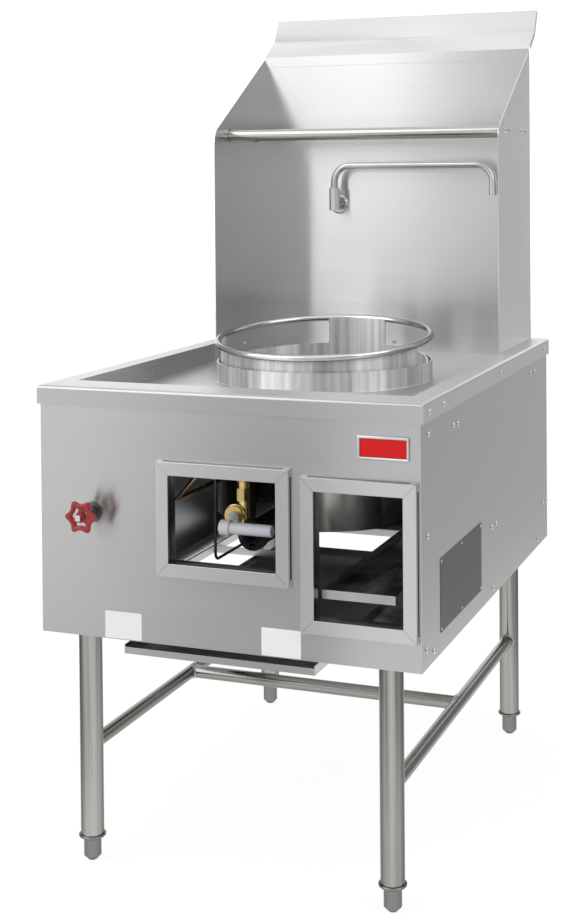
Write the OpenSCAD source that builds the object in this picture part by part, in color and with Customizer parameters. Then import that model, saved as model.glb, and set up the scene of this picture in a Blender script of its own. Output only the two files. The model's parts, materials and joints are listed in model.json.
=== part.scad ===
// Single-hole wok range with a high splash back, in millimetres.
// The front faces -Y, +Z is up, and the origin is on the floor under the centre of the bounding box.

/* [Cabinet] */
// Width over the deck trim
cab_w = 711; // [560:1:900]
// Depth from the front trim to the rear
cab_d = 952; // [880:1:1100]
// Height of the cabinet's lower edge
base_h = 416.5; // [350:0.5:500]
// Height of the cabinet from its lower edge to the deck rim
cab_h = 436; // [400:1:480]
// Sheet thickness of the panels and the deck
sheet_t = 1.5; // [1:0.1:2]
// Depth of folded flanges
flange_d = 25; // [15:1:35]
// Gap that keeps moving pieces clear of each other
clear_gap = 0.3; // [0.2:0.1:0.6]
// Radial clearance of a shaft in its bore
run_gap = 0.05; // [0.02:0.01:0.1]

/* [Deck] */
// Trim overhang past the side panels
trim_out_side = 5.5; // [3:0.5:10]
// Trim overhang past the front panel
trim_out_front = 3; // [2.5:0.5:10]
// Height of the trim apron
trim_h = 33; // [25:1:50]
// Radius of the rounded trim edge
edge_r = 6; // [4:0.5:8]
// Width of the side rims
rim_side = 39.5; // [30:0.5:60]
// Width of the front rim
rim_front = 74; // [50:1:120]
// Depth of the pan below the rim
pan_drop = 38.5; // [25:0.5:60]

/* [Wok ring] */
// Distance of the ring's axis behind the front trim
ring_y = 497; // [450:1:540]
// Outer radius of the collar on the pan
collar_r = 214.8; // [200:0.2:230]
// Wall of the collar and of the chamber shell
collar_t = 3; // [2:0.5:4]
// Height of the collar above the pan
collar_h = 37; // [25:1:60]
// Leg of the weld fillet at the collar's foot
weld_leg = 1.5; // [1:0.5:4]
// Outer radius of the loose band
band_r = 206; // [195:0.5:208]
// Wall of the loose band
band_t = 3; // [2:0.5:4]
// Centre-line radius of the tube ring
tube_ring_r = 211.9; // [205:0.1:216]
// Radius of the ring's tube
tube_r = 6.35; // [4:0.05:8]
// Height of the tube ring's centre above the rim
tube_lift = 42.5; // [30:0.5:60]
// Tilt of the tube ring, rear up
tube_tilt = 4.7; // [0:0.1:8]
// Half angle of the band's front tab
front_tab = 81; // [60:1:100]
// Half angle of the band's rear tab
rear_tab = 18; // [10:0.5:25]
// Height of the tilted flame window sills above the rim on the ring's axis
sill_lift = -9; // [-20:1:20]

/* [Chamber and burner] */
// Height of the lining's lower edge above the chamber's
lining_lift = 104; // [80:1:140]
// Height of the lining's steep upper part
lining_neck = 55; // [40:1:70]
// Distance of the lining's top ledge below the pan floor
ledge_drop = 9; // [5:1:20]
// Inner radius at the lining's top
lining_top_r = 197; // [180:1:200]
// Inner radius at the lining's foot
lining_foot_r = 150; // [125:1:170]
// Half width of the burner cut-out in the chamber
notch_half = 64; // [50:1:80]
// Height of the burner cut-out
notch_h = 58; // [45:1:70]
// Outer radius of the mixer tube
mixer_r = 24; // [18:0.5:28]
// Wall of the mixer tube
mixer_t = 4; // [3:0.5:6]
// Radius of the mixer mouth
mouth_r = 27; // [24:0.5:32]
// Radius of the burner head
head_r = 108; // [80:1:120]
// Thickness of the burner head
head_t = 24; // [15:1:35]
// Jets in the outer ring
outer_jets = 15; // [8:1:20]
// Jets in the inner ring
inner_jets = 7; // [4:1:10]
// Radius of the outer jet ring
outer_ring_r = 86; // [60:1:95]
// Radius of the inner jet ring
inner_ring_r = 45; // [30:1:50]
// Jet radius
jet_r = 7; // [5:0.5:9]
// Jet height
jet_h = 28; // [15:1:40]
// Jet bore radius
jet_bore_r = 3; // [2:0.5:4]
// Width of the bar that carries the burner
burner_bar_w = 40; // [25:1:60]
// Thickness of the burner bar
burner_bar_t = 3; // [2:0.5:5]

/* [Gas line] */
// Outer radius of the gas pipe
gas_r = 13.35; // [10:0.05:17]
// Wall of the pipes
pipe_t = 2.8; // [2:0.1:4]
// Drop of the gas manifold's axis below the pan sheet
gas_drop = 77.5; // [50:0.5:100]
// Distance of the manifold behind the front trim
gas_y = 91; // [85:1:110]
// Sideways distance of the gas run from the water line
gas_gap = 43; // [35:1:50]
// Least gap between the gas pipe and the side panel
pipe_gap = 5; // [3:1:15]
// Length of the inlets' threaded ends
thread_len = 30; // [20:1:40]
// Width of the relief groove behind each thread
relief_w = 2; // [1:0.5:4]
// Depth of the relief groove
relief_d = 0.8; // [0.4:0.1:1.5]
// Thickness of the inlets' lock nuts
lock_t = 8; // [5:1:12]
// Radius of the pipe bends
pipe_bend = 32; // [25:1:45]
// Bend radius of the orifice elbow's axis
elbow_bend = 26.4; // [20:0.1:35]
// Straight leg of the orifice elbow under the gas valve
elbow_leg = 2.6; // [2:0.1:30]
// Radius of the orifice spud
spud_r = 9; // [7:0.5:11]
// Length of the orifice spud on each side of the air shutter
spud_len = 10; // [6:1:15]
// Thickness of the air shutter
shutter_t = 3; // [2:0.5:5]
// Length of the gas valve up to its top nut
valve_len = 64; // [50:1:80]
// Radius of the gas valve's barrel
valve_r = 11; // [8:0.5:14]
// Radius of the gas valve's bonnet
bonnet_r = 17; // [13:0.5:22]
// Height of the lever's axis above the gas valve's foot
lever_lift = 19; // [18:1:35]
// Sideways position of the lever's axis
lever_x = -9; // [-14:1:0]
// Radius of the lever's stem
lever_stem_r = 4.5; // [3:0.5:6]
// Thickness of the lever's strap
strap_t = 3; // [2:0.5:4]
// Sideways start of the lever grip
grip_x = -20; // [-40:1:-15]
// Length of the lever grip
grip_len = 98; // [80:1:130]
// Radius of the lever grip
grip_r = 10.5; // [8:0.5:13]
// Drop of the grip below the lever's axis
grip_drop = 13; // [10:1:30]
// Distance of the grip's axis behind the front trim
grip_y = 36; // [34:0.5:45]
// Sideways position of the pilot valve
pilot_x = -54; // [-60:1:-45]
// Radius of the pilot line
pilot_r = 2.5; // [2:0.1:4]
// Drop of the pilot line's lower run below the mixer's axis
pilot_drop = 38; // [12:1:45]
// Radius of the copper tube
copper_r = 4; // [3:0.5:6]
// Sideways position of the copper tube's rear run
copper_x = -130; // [-150:1:-110]
// Drop of the copper tube's rear run below the lining
copper_drop = 15; // [8:1:25]

/* [Water line] */
// Sideways distance of the water line's axis from the chamber
water_gap = 32.2; // [20:0.1:45]
// Height of the hand wheel above the cabinet's lower edge
wheel_lift = 218.5; // [180:0.5:250]
// Distance of the wheel's middle in front of the panel
wheel_out = 42; // [36:1:60]
// Radius of the wheel's rim
wheel_rim_r = 26; // [20:0.5:35]
// Radial width of the wheel's rim
wheel_rim_w = 6.5; // [4:0.5:10]
// Thickness of the wheel
wheel_t = 10; // [7:0.5:14]
// Number of lobes and spokes
wheel_lobes = 6; // [4:1:8]
// Radius of each lobe
lobe_r = 7; // [4:0.5:9]
// Radius of the wheel's hub
hub_r = 9.5; // [7:0.5:12]
// Width of the wheel's spokes
spoke_w = 6; // [4:0.5:8]
// Radius of the valve stem
stem_r = 4; // [3:0.5:5]
// Side of the square brass nut
nut_w = 10; // [8:0.5:13]
// Height of the square brass nut
nut_t = 7; // [5:0.5:9]
// Outer radius of the water pipe
water_r = 10.65; // [8:0.05:13]
// Height of the water inlet run above the cabinet's lower edge
inlet_lift = 53.5; // [40:0.5:80]
// Rise of the water outlet run above the hand wheel
outlet_rise = 70; // [62:1:75]
// Distance of the water riser behind the cabinet
riser_out = 26; // [20:1:35]

/* [Windows] */
// Left window, left edge
lwin_x = -97; // [-130:1:-60]
// Left window, clear width
lwin_w = 198; // [150:1:240]
// Left window, lower edge above the cabinet's
lwin_sill = 143; // [125:0.5:180]
// Left window, clear height
lwin_h = 150.5; // [100:0.5:160]
// Right window, left edge
rwin_x = 168; // [150:1:180]
// Right window, clear width
rwin_w = 154; // [120:1:158]
// Right window, lower edge above the cabinet's
rwin_sill = 71.5; // [55:0.5:95]
// Right window, clear height
rwin_h = 212.5; // [150:0.5:240]
// Depth of the folded window edges
win_fold = 18; // [10:1:25]
// Width of the window frames
frame_w = 23; // [15:0.5:26]
// Thickness of the window frames
frame_t = 8; // [5:0.5:14]
// Stand-off of the frames on their clips
frame_gap = 3; // [2:0.5:6]
// Size of the corner clips
clip_s = 14; // [8:1:20]

/* [Trays] */
// Drip tray, left edge
drip_x = -184; // [-220:1:-150]
// Drip tray, width
drip_w = 352; // [300:1:400]
// Drip tray, length
drip_len = 722; // [500:1:760]
// Drop of the drip tray's floor below the cabinet
drip_drop = 20.5; // [18:0.5:35]
// Height of the drip tray's sides
drip_side = 16; // [10:1:18]
// Height of the drip tray's front lip
drip_lip = 11.5; // [8:0.5:15]
// Distance of the drip lip in front of the trim
drip_out = 4; // [2:0.5:10]
// Width of the drip tray's hanging flanges
drip_flange = 8; // [6:1:12]
// Grease tray, left edge
grease_x = 172; // [170:1:180]
// Grease tray, width
grease_w = 128; // [100:1:140]
// Grease tray, length
grease_len = 520; // [350:1:600]
// Height of the grease tray's floor above the right window's edge
tray_sill = 29.5; // [15:0.5:40]
// Gap between the grease tray and the chamber above it
tray_gap = 23.5; // [3:0.5:30]
// Height of the grease tray's sides
grease_side = 15; // [10:1:18]
// Distance of the grease tray behind the front trim
grease_y = 21; // [10:1:30]
// First tray bracket behind the front trim
brk_y1 = 150; // [100:1:200]
// Second tray bracket behind the front trim
brk_y2 = 430; // [350:1:480]
// Width of the tray brackets
brk_w = 30; // [20:1:45]
// Thickness of the tray brackets
brk_t = 3; // [2:0.5:4]
// Height of the brackets' wall plates
brk_drop = 40; // [25:1:60]

/* [Legs] */
// Sideways position of the legs
leg_x = 282; // [250:1:295]
// Front legs behind the front trim
leg_front = 51.5; // [48:0.5:70]
// Rear legs behind the front trim
leg_rear = 872; // [800:1:900]
// Outer radius of the legs
leg_r = 20.65; // [16:0.05:25]
// Wall of the leg tubes
leg_t = 1.6; // [1.2:0.1:2.5]
// Height of the foot flange's upper side
foot_top = 47; // [35:1:60]
// Thickness of the foot flange
foot_flange_t = 5; // [3:0.5:8]
// Radius of the foot flange
foot_flange_r = 24; // [22:0.5:28]
// Radius of the foot's body
foot_r = 15.5; // [12:0.5:20]
// Radius of the foot's resting face
foot_tip_r = 8; // [5:0.5:12]
// Height of the foot's chamfer
foot_chamfer = 8; // [4:0.5:12]
// Length of the spigots inside the legs
spigot_len = 40; // [30:1:60]
// Half side of the leg plates
plate_half = 35; // [28:1:36]
// Height of the stretchers
stretch_h = 205; // [120:1:300]
// Outer radius of the stretchers
stretch_r = 12.7; // [9:0.1:17]
// Cross stretcher behind the front trim
cross_y = 461; // [300:1:650]

/* [Bottom frame] */
// Width of the side strips
side_strip = 63; // [50:1:70]
// Width of the front strip
front_strip = 50; // [40:1:70]
// Start of the rear strip behind the front trim
rear_strip_y = 826; // [780:1:840]
// Start of the middle strip behind the front trim
mid_strip_y = 582; // [500:1:650]
// Width of the middle strip
mid_strip = 50; // [40:1:70]
// Height of the strips' folded lips
strip_lip = 15; // [8:1:25]
// Width of the floor sheet under the grease tray
tray_floor = 104; // [80:1:106]

/* [Splash] */
// Front edge of the splash sides behind the front trim
splash_y = 663; // [600:1:720]
// Height of the splash sides' front corner above the rim
splash_lift = 456.5; // [400:0.5:550]
// Rise of the splash sides from the front to the rear corner
splash_rise = 179; // [120:1:240]
// Radius of the splash sides' front corner
corner_r = 40; // [10:1:60]
// Drop of the cap's lower edge below the sides' rear corner
cap_drop = 20; // [13:1:40]
// Height of the cap's lip
cap_lip = 23; // [15:1:35]
// Run of the cap's lower slope
cap_run1 = 58; // [40:1:80]
// Rise of the cap's lower slope
cap_rise1 = 41; // [30:1:60]
// Run of the cap's upper slope
cap_run2 = 27; // [15:1:40]
// Rise of the cap's upper slope
cap_rise2 = 52; // [40:1:70]
// Depth of the cap's end returns
cap_return = 12; // [8:1:16]
// Front rail behind the front trim
rail_y = 735; // [700:1:760]
// Distance between the rails
rail_gap = 152; // [120:1:180]
// Drop of the rails below the sides' front corner
rail_drop = 3; // [0:0.5:40]
// Outer radius of the rails
rail_r = 11.1; // [8:0.1:14]
// Wall of the rails
rail_t = 1.5; // [1:0.1:2.5]
// Radius of the rails' end collars
rail_collar_r = 14; // [12:0.5:18]
// Length of the rails' end collars
rail_collar = 5; // [3:0.5:8]
// Shank radius of the rail bolts
bolt_r = 3.2; // [2:0.1:4]

/* [Faucet] */
// Sideways position of the faucet
faucet_x = -131; // [-180:1:-80]
// Height of the wall flange above the rim
flange_lift = 295.5; // [250:0.5:340]
// Radius of the wall flange
flange_r = 22; // [18:0.5:28]
// Thickness of the wall flange
flange_t = 6; // [4:0.5:9]
// Distance of the swivel axis in front of the wall
swivel_out = 34; // [28:1:45]
// Drop of the swivel body's lower end below the flange's axis
swivel_drop = 13; // [10:1:25]
// Height of the swivel body
swivel_len = 51; // [40:1:65]
// Half width across the swivel body's flats
swivel_r = 11; // [10:0.5:15]
// Depth of the spout in the swivel body
spout_seat = 26; // [15:1:30]
// Outer radius of the spout
spout_r = 7.8; // [6:0.1:9]
// Wall of the spout
spout_t = 1.2; // [0.8:0.1:2]
// Straight leg of the spout above the swivel body
spout_leg = 13; // [5:1:40]
// Reach of the spout from its axis
spout_reach = 371; // [200:1:380]
// Least gap between the spout's nozzle and the splash side
side_gap = 10; // [5:1:30]
// Bend radius of the spout's axis
spout_bend = 38; // [25:1:45]
// Straight leg of the spout above the nozzle
nozzle_leg = 10; // [4:1:20]
// Length of the nozzle
nozzle_len = 20; // [12:1:24]
// Radius of the nozzle
nozzle_r = 8.6; // [8.4:0.1:11]

/* [Trim] */
// Badge width
badge_w = 90; // [60:1:120]
// Badge height
badge_h = 40; // [25:1:60]
// Left edge of the badge
badge_x = 242; // [200:1:250]
// Drop of the badge's top edge below the rim
badge_drop = 55.5; // [40:0.5:80]
// Width of the badge frame
badge_rim = 5.5; // [2:0.5:8]
// Thickness of the badge frame
badge_t = 4.5; // [2:0.5:5]
// Sticker width
label_w = 71; // [50:1:90]
// Left edge of the first sticker
label_x1 = -225; // [-240:1:-200]
// Left edge of the second sticker
label_x2 = 70; // [50:1:75]
// Sticker heights
label_h = 47; // [30:1:48]
// Thickness of stickers and data plates
label_t = 0.5; // [0.3:0.1:1]
// Start of the data plates behind the front trim
plate_y = 109; // [80:1:150]
// Length of each data plate
plate_len = 135; // [100:1:150]
// Height of the data plates' lower edge above the cabinet's
plate_lift = 34.5; // [20:0.5:60]
// Height of the data plates
plate_h = 126; // [80:1:150]
// Radius of the screw heads
screw_r = 5; // [3:0.5:6]
// Height of the screw heads
screw_t = 3.5; // [1.5:0.1:5]
// Drop of the deck screws below the rim
screw_drop = 18; // [12:1:24]
// Radius of the rivet heads
rivet_r = 2; // [1.5:0.5:3]
// Distance of the rivets from the data plates' edges
rivet_in = 6; // [4:0.5:10]

/* [Hidden] */
$fn = 32;

rim_h = base_h + cab_h;
rwin_z = base_h + rwin_sill;
lwin_z = base_h + lwin_sill;
grease_h = rwin_z + tray_sill;
drip_h = base_h - drip_drop;
chamber_h = grease_h + grease_side + tray_gap;
lining_h = chamber_h + lining_lift;
mixer_h = chamber_h + burner_bar_t + mixer_r;
mixer_y = gas_y + elbow_bend + spud_len + shutter_t + 2 * clear_gap;
valve_h = mixer_h + elbow_bend + elbow_leg;
valve_top = valve_h + valve_len;
lever_h = valve_h + lever_lift;
pilot_low = mixer_h - pilot_drop;
copper_h = lining_h - copper_drop;
wheel_x = -(collar_r + water_gap);
wheel_h = base_h + wheel_lift;
inlet_h = base_h + inlet_lift;
outlet_h = wheel_h + outlet_rise;
splash_front_h = rim_h + splash_lift;
splash_top_h = splash_front_h + splash_rise;
cap_h = splash_top_h - cap_drop;
rail_h = splash_front_h - rail_drop;
flange_h = rim_h + flange_lift;
swivel_h = flange_h - swivel_drop;
spout_h = swivel_h + swivel_len + spout_leg + spout_bend;
nozzle_h = spout_h - spout_bend - nozzle_leg - nozzle_len;
badge_z = rim_h - badge_drop - badge_h;
plate_z = base_h + plate_lift;
wheel_front = wheel_out + wheel_t / 2 + nut_t;
wheel_reach = wheel_front - trim_out_front;
wall_y = cab_d - 2 * sheet_t;
cap_y = wall_y - sheet_t;
cap_top_len = norm([cap_run2, cap_rise2]);
cap_reach = cap_y + cap_run1 + cap_run2 + cap_return * cap_rise2 / cap_top_len;
y_front = wheel_reach - (wheel_reach + cap_reach) / 2;
y_rear = y_front + cab_d;
y_panel = y_front + trim_out_front;
half_w = cab_w / 2;
panel_x = half_w - trim_out_side;
pan_x = half_w - rim_side;
wall_x = pan_x - sheet_t;
gas_x = -min(gas_gap - wheel_x, panel_x - sheet_t - pipe_gap - gas_r);
spout_room = wall_x - side_gap - nozzle_r - faucet_x;
spout_turn = acos(min(1, spout_room / spout_reach));
pan_h = rim_h - pan_drop;
pan_under = pan_h - sheet_t;
gas_h = pan_under - gas_drop;
collar_in = collar_r - collar_t;
ledge_h = pan_h - ledge_drop;
tube_h = rim_h + tube_lift;
head_h = mixer_h + mixer_r;
frame_h = base_h + sheet_t;
y_wall = y_front + wall_y;
y_swivel = y_wall - swivel_out;
grip_h = lever_h - grip_drop;
far = 2000;

function yy(d) = y_front + d;
function unit(v) = v / norm(v);
function normal(a, b) = let (d = unit(b - a)) [-d[1], d[0]];
function off_pt(p, i, t) =
    let (last = len(p) - 1)
    let (n1 = i > 0 ? normal(p[i - 1], p[i]) : normal(p[0], p[1]))
    let (n2 = i < last ? normal(p[i], p[i + 1]) : normal(p[last - 1], p[last]))
    let (m = n1 + n2)
    p[i] + m * (2 * t / (m * m));
function sheet_path(p, t) = concat(p, [for (i = [len(p) - 1:-1:0]) off_pt(p, i, t)]);

// Helpers: boxes, rods, pipes and profiles along an axis
module span(x, y, z) {
    translate([x[0], y[0], z[0]])
        cube([x[1] - x[0], y[1] - y[0], z[1] - z[0]]);
}

module along_x(x0, x1) {
    translate([x0, 0, 0])
        rotate([90, 0, 90])
            linear_extrude(x1 - x0)
                children();
}

module along_y(y0, y1) {
    translate([0, y1, 0])
        rotate([90, 0, 0])
            linear_extrude(y1 - y0)
                children();
}

module along_z(z0, z1) {
    translate([0, 0, z0])
        linear_extrude(z1 - z0)
            children();
}

module rod_x(x, y, z, r) {
    translate([x[0], y, z])
        rotate([0, 90, 0])
            cylinder(h = x[1] - x[0], r = r);
}

module rod_y(x, y, z, r) {
    translate([x, y[1], z])
        rotate([90, 0, 0])
            cylinder(h = y[1] - y[0], r = r);
}

module rod_z(x, y, z, r) {
    translate([x, y, z[0]])
        cylinder(h = z[1] - z[0], r = r);
}

module ring_2d(r, t) {
    difference() {
        circle(r);
        circle(r - t);
    }
}

module pipe_x(x, y, z, r, t) {
    translate([0, y, z])
        along_x(x[0], x[1])
            ring_2d(r, t);
}

module pipe_y(x, y, z, r, t) {
    translate([x, 0, z])
        along_y(y[0], y[1])
            ring_2d(r, t);
}

module pipe_z(x, y, z, r, t) {
    translate([x, y, 0])
        along_z(z[0], z[1])
            ring_2d(r, t);
}

module quarter(start, bend, r, t) {
    rotate([0, 0, start])
        rotate_extrude(angle = 90)
            translate([bend, 0])
                ring_2d(r, t);
}

module elbow_yz(c, start, bend, r, t) {
    translate(c)
        rotate([90, 0, 90])
            quarter(start, bend, r, t);
}

module elbow_xz(c, start, bend, r, t) {
    translate(c)
        rotate([90, 0, 0])
            quarter(start, bend, r, t);
}

module elbow_xy(c, start, bend, r, t) {
    translate(c)
        quarter(start, bend, r, t);
}

module both_sides() {
    children();
    mirror([1, 0, 0])
        children();
}

module at_legs() {
    for (sx = [-1, 1])
        for (d = [leg_front, leg_rear])
            translate([sx * leg_x, yy(d), 0])
                children();
}

// Deck: pan, rims and the trim apron with mitred corners
module trim_2d(out) {
    intersection() {
        translate([edge_r, -edge_r])
            ring_2d(edge_r, sheet_t);
        translate([0, -edge_r])
            square(edge_r);
    }
    translate([0, -trim_h])
        square([sheet_t, trim_h - edge_r]);
    translate([0, -trim_h])
        square([out, sheet_t]);
    translate([edge_r, -sheet_t])
        square([flange_d - edge_r, sheet_t]);
}

module trim_front() {
    intersection() {
        translate([0, y_front, rim_h])
            along_x(-half_w, half_w)
                trim_2d(trim_out_front);
        along_z(0, far)
            polygon([[-half_w, y_front], [half_w, y_front],
                [half_w - flange_d, y_front + flange_d], [flange_d - half_w, y_front + flange_d]]);
    }
}

module trim_side() {
    intersection() {
        translate([-half_w, 0, rim_h])
            along_y(y_front, y_rear)
                trim_2d(trim_out_side);
        along_z(0, far)
            polygon([[-half_w, y_front], [flange_d - half_w, y_front + flange_d],
                [flange_d - half_w, y_rear], [-half_w, y_rear]]);
    }
}

module deck_top() {
    inner = half_w - flange_d;
    rim_z = [rim_h - sheet_t, rim_h];
    wall_z = [pan_under, rim_h];
    y_pan = yy(rim_front);
    color("gainsboro") {
        trim_front();
        both_sides()
            trim_side();
        difference() {
            union() {
                span([-inner, inner], [yy(flange_d), y_rear], rim_z);
                span([-pan_x - sheet_t, pan_x + sheet_t], [y_pan - sheet_t, y_rear], wall_z);
            }
            span([-pan_x, pan_x], [y_pan, y_rear - sheet_t], [pan_h, rim_h + 1]);
            rod_z(0, yy(ring_y), [pan_under - 1, rim_h + 1], collar_in);
        }
    }
}

module wok_collar() {
    color("silver")
        translate([0, yy(ring_y), pan_h])
            rotate_extrude()
                polygon([[collar_in, 0], [collar_r + weld_leg, 0], [collar_r, weld_leg],
                    [collar_r, collar_h], [collar_in, collar_h]]);
}

// Loose wok ring: slotted band cut along the tilted plane of its tube
module band_window(start, end) {
    reach = 2 * collar_r;
    middle = (start + end) / 2;
    polygon([[0, 0], reach * [sin(start), -cos(start)], reach * [sin(middle), -cos(middle)] / 0.6,
        reach * [sin(end), -cos(end)]]);
}

module above_tilt(z) {
    translate([0, 0, z])
        rotate([tube_tilt, 0, 0])
            translate([-collar_r, -2 * collar_r, 0])
                cube([2 * collar_r, 4 * collar_r, 4 * tube_lift]);
}

module wok_band() {
    color("lightgray")
        translate([0, yy(ring_y), 0])
            difference() {
                pipe_z(0, 0, [ledge_h + clear_gap, tube_h + 2 * tube_lift], band_r, band_t);
                above_tilt(tube_h);
                intersection() {
                    above_tilt(rim_h + sill_lift);
                    along_z(ledge_h, far)
                        both_sides()
                            band_window(front_tab, 180 - rear_tab);
                }
            }
}

module wok_tube() {
    color("silver")
        translate([0, yy(ring_y), tube_h])
            rotate([tube_tilt, 0, 0])
                rotate_extrude()
                    translate([tube_ring_r, 0])
                        circle(tube_r);
}

// Combustion chamber and burner
module chamber_shell() {
    y_ring = yy(ring_y);
    color("gray")
        difference() {
            pipe_z(0, y_ring, [chamber_h, pan_under], collar_r, collar_t);
            span([-notch_half, notch_half], [y_ring - 2 * collar_r, y_ring],
                [chamber_h - 1, chamber_h + notch_h]);
            rod_y(copper_x, [y_ring - 2 * collar_r, y_ring], copper_h, copper_r);
        }
}

module chamber_lining() {
    neck_r = lining_top_r - collar_t;
    color("dimgray")
        translate([0, yy(ring_y), 0])
            rotate_extrude()
                polygon([[lining_foot_r, lining_h], [collar_in, lining_h], [collar_in, ledge_h],
                    [lining_top_r, ledge_h], [neck_r, ledge_h - lining_neck]]);
}

module burner_head() {
    lip = head_t / 4;
    color("darkslategray")
        translate([0, yy(ring_y), head_h])
            rotate_extrude()
                polygon([[0, 0], [mixer_r + lip, 0], [head_r - 2 * lip, lip], [head_r, 2 * lip],
                    [head_r, head_t - lip], [head_r - lip, head_t], [0, head_t]]);
}

module jet() {
    rotate_extrude()
        polygon([[0, 0], [jet_r, 0], [jet_r, jet_h * 0.6], [jet_r * 0.75, jet_h],
            [jet_bore_r, jet_h], [jet_bore_r, jet_h * 0.4], [0, jet_h * 0.4]]);
}

module burner_jets() {
    color("goldenrod")
        translate([0, yy(ring_y), head_h + head_t]) {
            jet();
            for (i = [0:inner_jets - 1])
                rotate([0, 0, i * 360 / inner_jets])
                    translate([inner_ring_r, 0, 0])
                        jet();
            for (i = [0:outer_jets - 1])
                rotate([0, 0, i * 360 / outer_jets])
                    translate([outer_ring_r, 0, 0])
                        jet();
        }
}

module mixer_tube() {
    length = ring_y - mixer_y + mixer_r;
    bell = 3 * mixer_t;
    inner = mixer_r - mixer_t;
    color("darkslategray")
        difference() {
            union() {
                translate([0, yy(mixer_y), mixer_h])
                    rotate([-90, 0, 0])
                        rotate_extrude()
                            polygon([[0, 0], [mouth_r, 0], [mouth_r, bell], [mixer_r, 2 * bell],
                                [mixer_r, length], [0, length]]);
                rod_z(0, yy(ring_y), [mixer_h, head_h], mixer_r);
            }
            rod_y(0, [yy(mixer_y) - 1, yy(ring_y)], mixer_h, inner);
        }
}

module burner_bar() {
    y_ring = yy(ring_y);
    rest_h = mixer_h - mixer_r;
    color("gray")
        intersection() {
            span([-collar_r, collar_r], [y_ring - burner_bar_w / 2, y_ring + burner_bar_w / 2],
                [rest_h - burner_bar_t, rest_h]);
            rod_z(0, y_ring, [chamber_h - far, chamber_h + far], collar_in);
        }
}

// Air shutter turning on the orifice spud
module air_shutter() {
    y_back = yy(mixer_y) - clear_gap;
    hole_r = (mouth_r - spud_r) / 3;
    color("black")
        translate([0, y_back, mixer_h])
            rotate([90, 0, 0])
                difference() {
                    cylinder(h = shutter_t, r = mouth_r);
                    translate([0, 0, -1])
                        cylinder(h = shutter_t + 2, r = spud_r + run_gap);
                    for (a = [30, 150, 270])
                        rotate([0, 0, a])
                            translate([spud_r + 1.5 * hole_r, 0, -1])
                                cylinder(h = shutter_t + 2, r = hole_r);
                }
}

module orifice_elbow() {
    y_valve = yy(gas_y);
    y_disc = yy(mixer_y) - shutter_t - 2 * clear_gap;
    hex_r = spud_r + 2 * shutter_t;
    wall = spud_r - jet_bore_r;
    color("goldenrod") {
        pipe_z(0, y_valve, [mixer_h + elbow_bend, valve_h], spud_r, wall);
        elbow_yz([0, y_valve + elbow_bend, mixer_h + elbow_bend], 180, elbow_bend, spud_r, wall);
        pipe_y(0, [y_disc - spud_len, yy(mixer_y) + spud_len], mixer_h, spud_r, wall);
        translate([0, 0, mixer_h])
            along_y(y_disc - spud_len / 2, y_disc)
                difference() {
                    circle(hex_r, $fn = 6);
                    circle(spud_r - 1, $fn = 32);
                }
    }
}

// Gas valve with its bonnet facing the front
module gas_valve() {
    y_valve = yy(gas_y);
    nut_h = 2 * valve_r;
    bonnet_y = [y_valve - 2 * valve_r, y_valve];
    color("goldenrod")
        difference() {
            union() {
                rod_z(0, y_valve, [valve_h, gas_h], valve_r);
                translate([0, y_valve, 0])
                    along_z(valve_top - nut_h, valve_top)
                        circle(valve_r + 2, $fn = 6);
                translate([0, y_valve, 0])
                    along_z(valve_h, valve_h + nut_h / 2)
                        circle(valve_r + 3, $fn = 6);
                rod_y(lever_x, bonnet_y, lever_h, bonnet_r);
            }
            rod_x([-far, far], y_valve, gas_h, gas_r);
            rod_z(0, y_valve, [valve_h - 1, valve_h + nut_h / 4], jet_bore_r);
            rod_y(lever_x, [bonnet_y[0] - 1, y_valve - valve_r / 2], lever_h, lever_stem_r + run_gap);
        }
}

module valve_lever() {
    y_bonnet = yy(gas_y) - 2 * valve_r;
    y_strap = [y_bonnet - clear_gap - strap_t, y_bonnet - clear_gap];
    clamp_x = [grip_x + strap_t, grip_x + strap_t + 2 * strap_t + valve_r];
    color("slategray") {
        rod_y(lever_x, [y_strap[0] - strap_t, yy(gas_y) - valve_r / 2 - clear_gap], lever_h, lever_stem_r);
        rod_y(lever_x, y_strap, lever_h, lever_stem_r + strap_t);
        difference() {
            union() {
                span(clamp_x, [yy(grip_y), y_strap[1]], [grip_h - strap_t, grip_h + strap_t]);
                span([clamp_x[0], max(clamp_x[1], lever_x)], y_strap, [grip_h - strap_t, lever_h]);
                rod_x(clamp_x, yy(grip_y), grip_h, grip_r + strap_t);
            }
            rod_x([clamp_x[0] - 1, clamp_x[1] + 1], yy(grip_y), grip_h, grip_r);
        }
    }
}

module lever_grip() {
    dome = grip_r / 3;
    color("lightsteelblue")
        translate([grip_x, yy(grip_y), grip_h])
            rotate([0, 90, 0])
                rotate_extrude()
                    polygon([[0, 0], [grip_r - dome, 0], [grip_r, dome], [grip_r, grip_len - dome],
                        [grip_r - dome, grip_len], [0, grip_len]]);
}

// Inlet behind the rear panel: lock nut, relief groove and threaded end
module inlet_end(x, z, r) {
    y_nut = y_rear + lock_t;
    y_thread = y_nut + relief_w;
    translate([x, 0, z])
        along_y(y_rear, y_nut)
            difference() {
                circle(r + 2 * pipe_t, $fn = 6);
                circle(r - pipe_t, $fn = 32);
            }
    pipe_y(x, [y_nut, y_thread], z, r - relief_d, pipe_t - relief_d);
    pipe_y(x, [y_thread, y_thread + thread_len], z, r, pipe_t);
}

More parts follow.
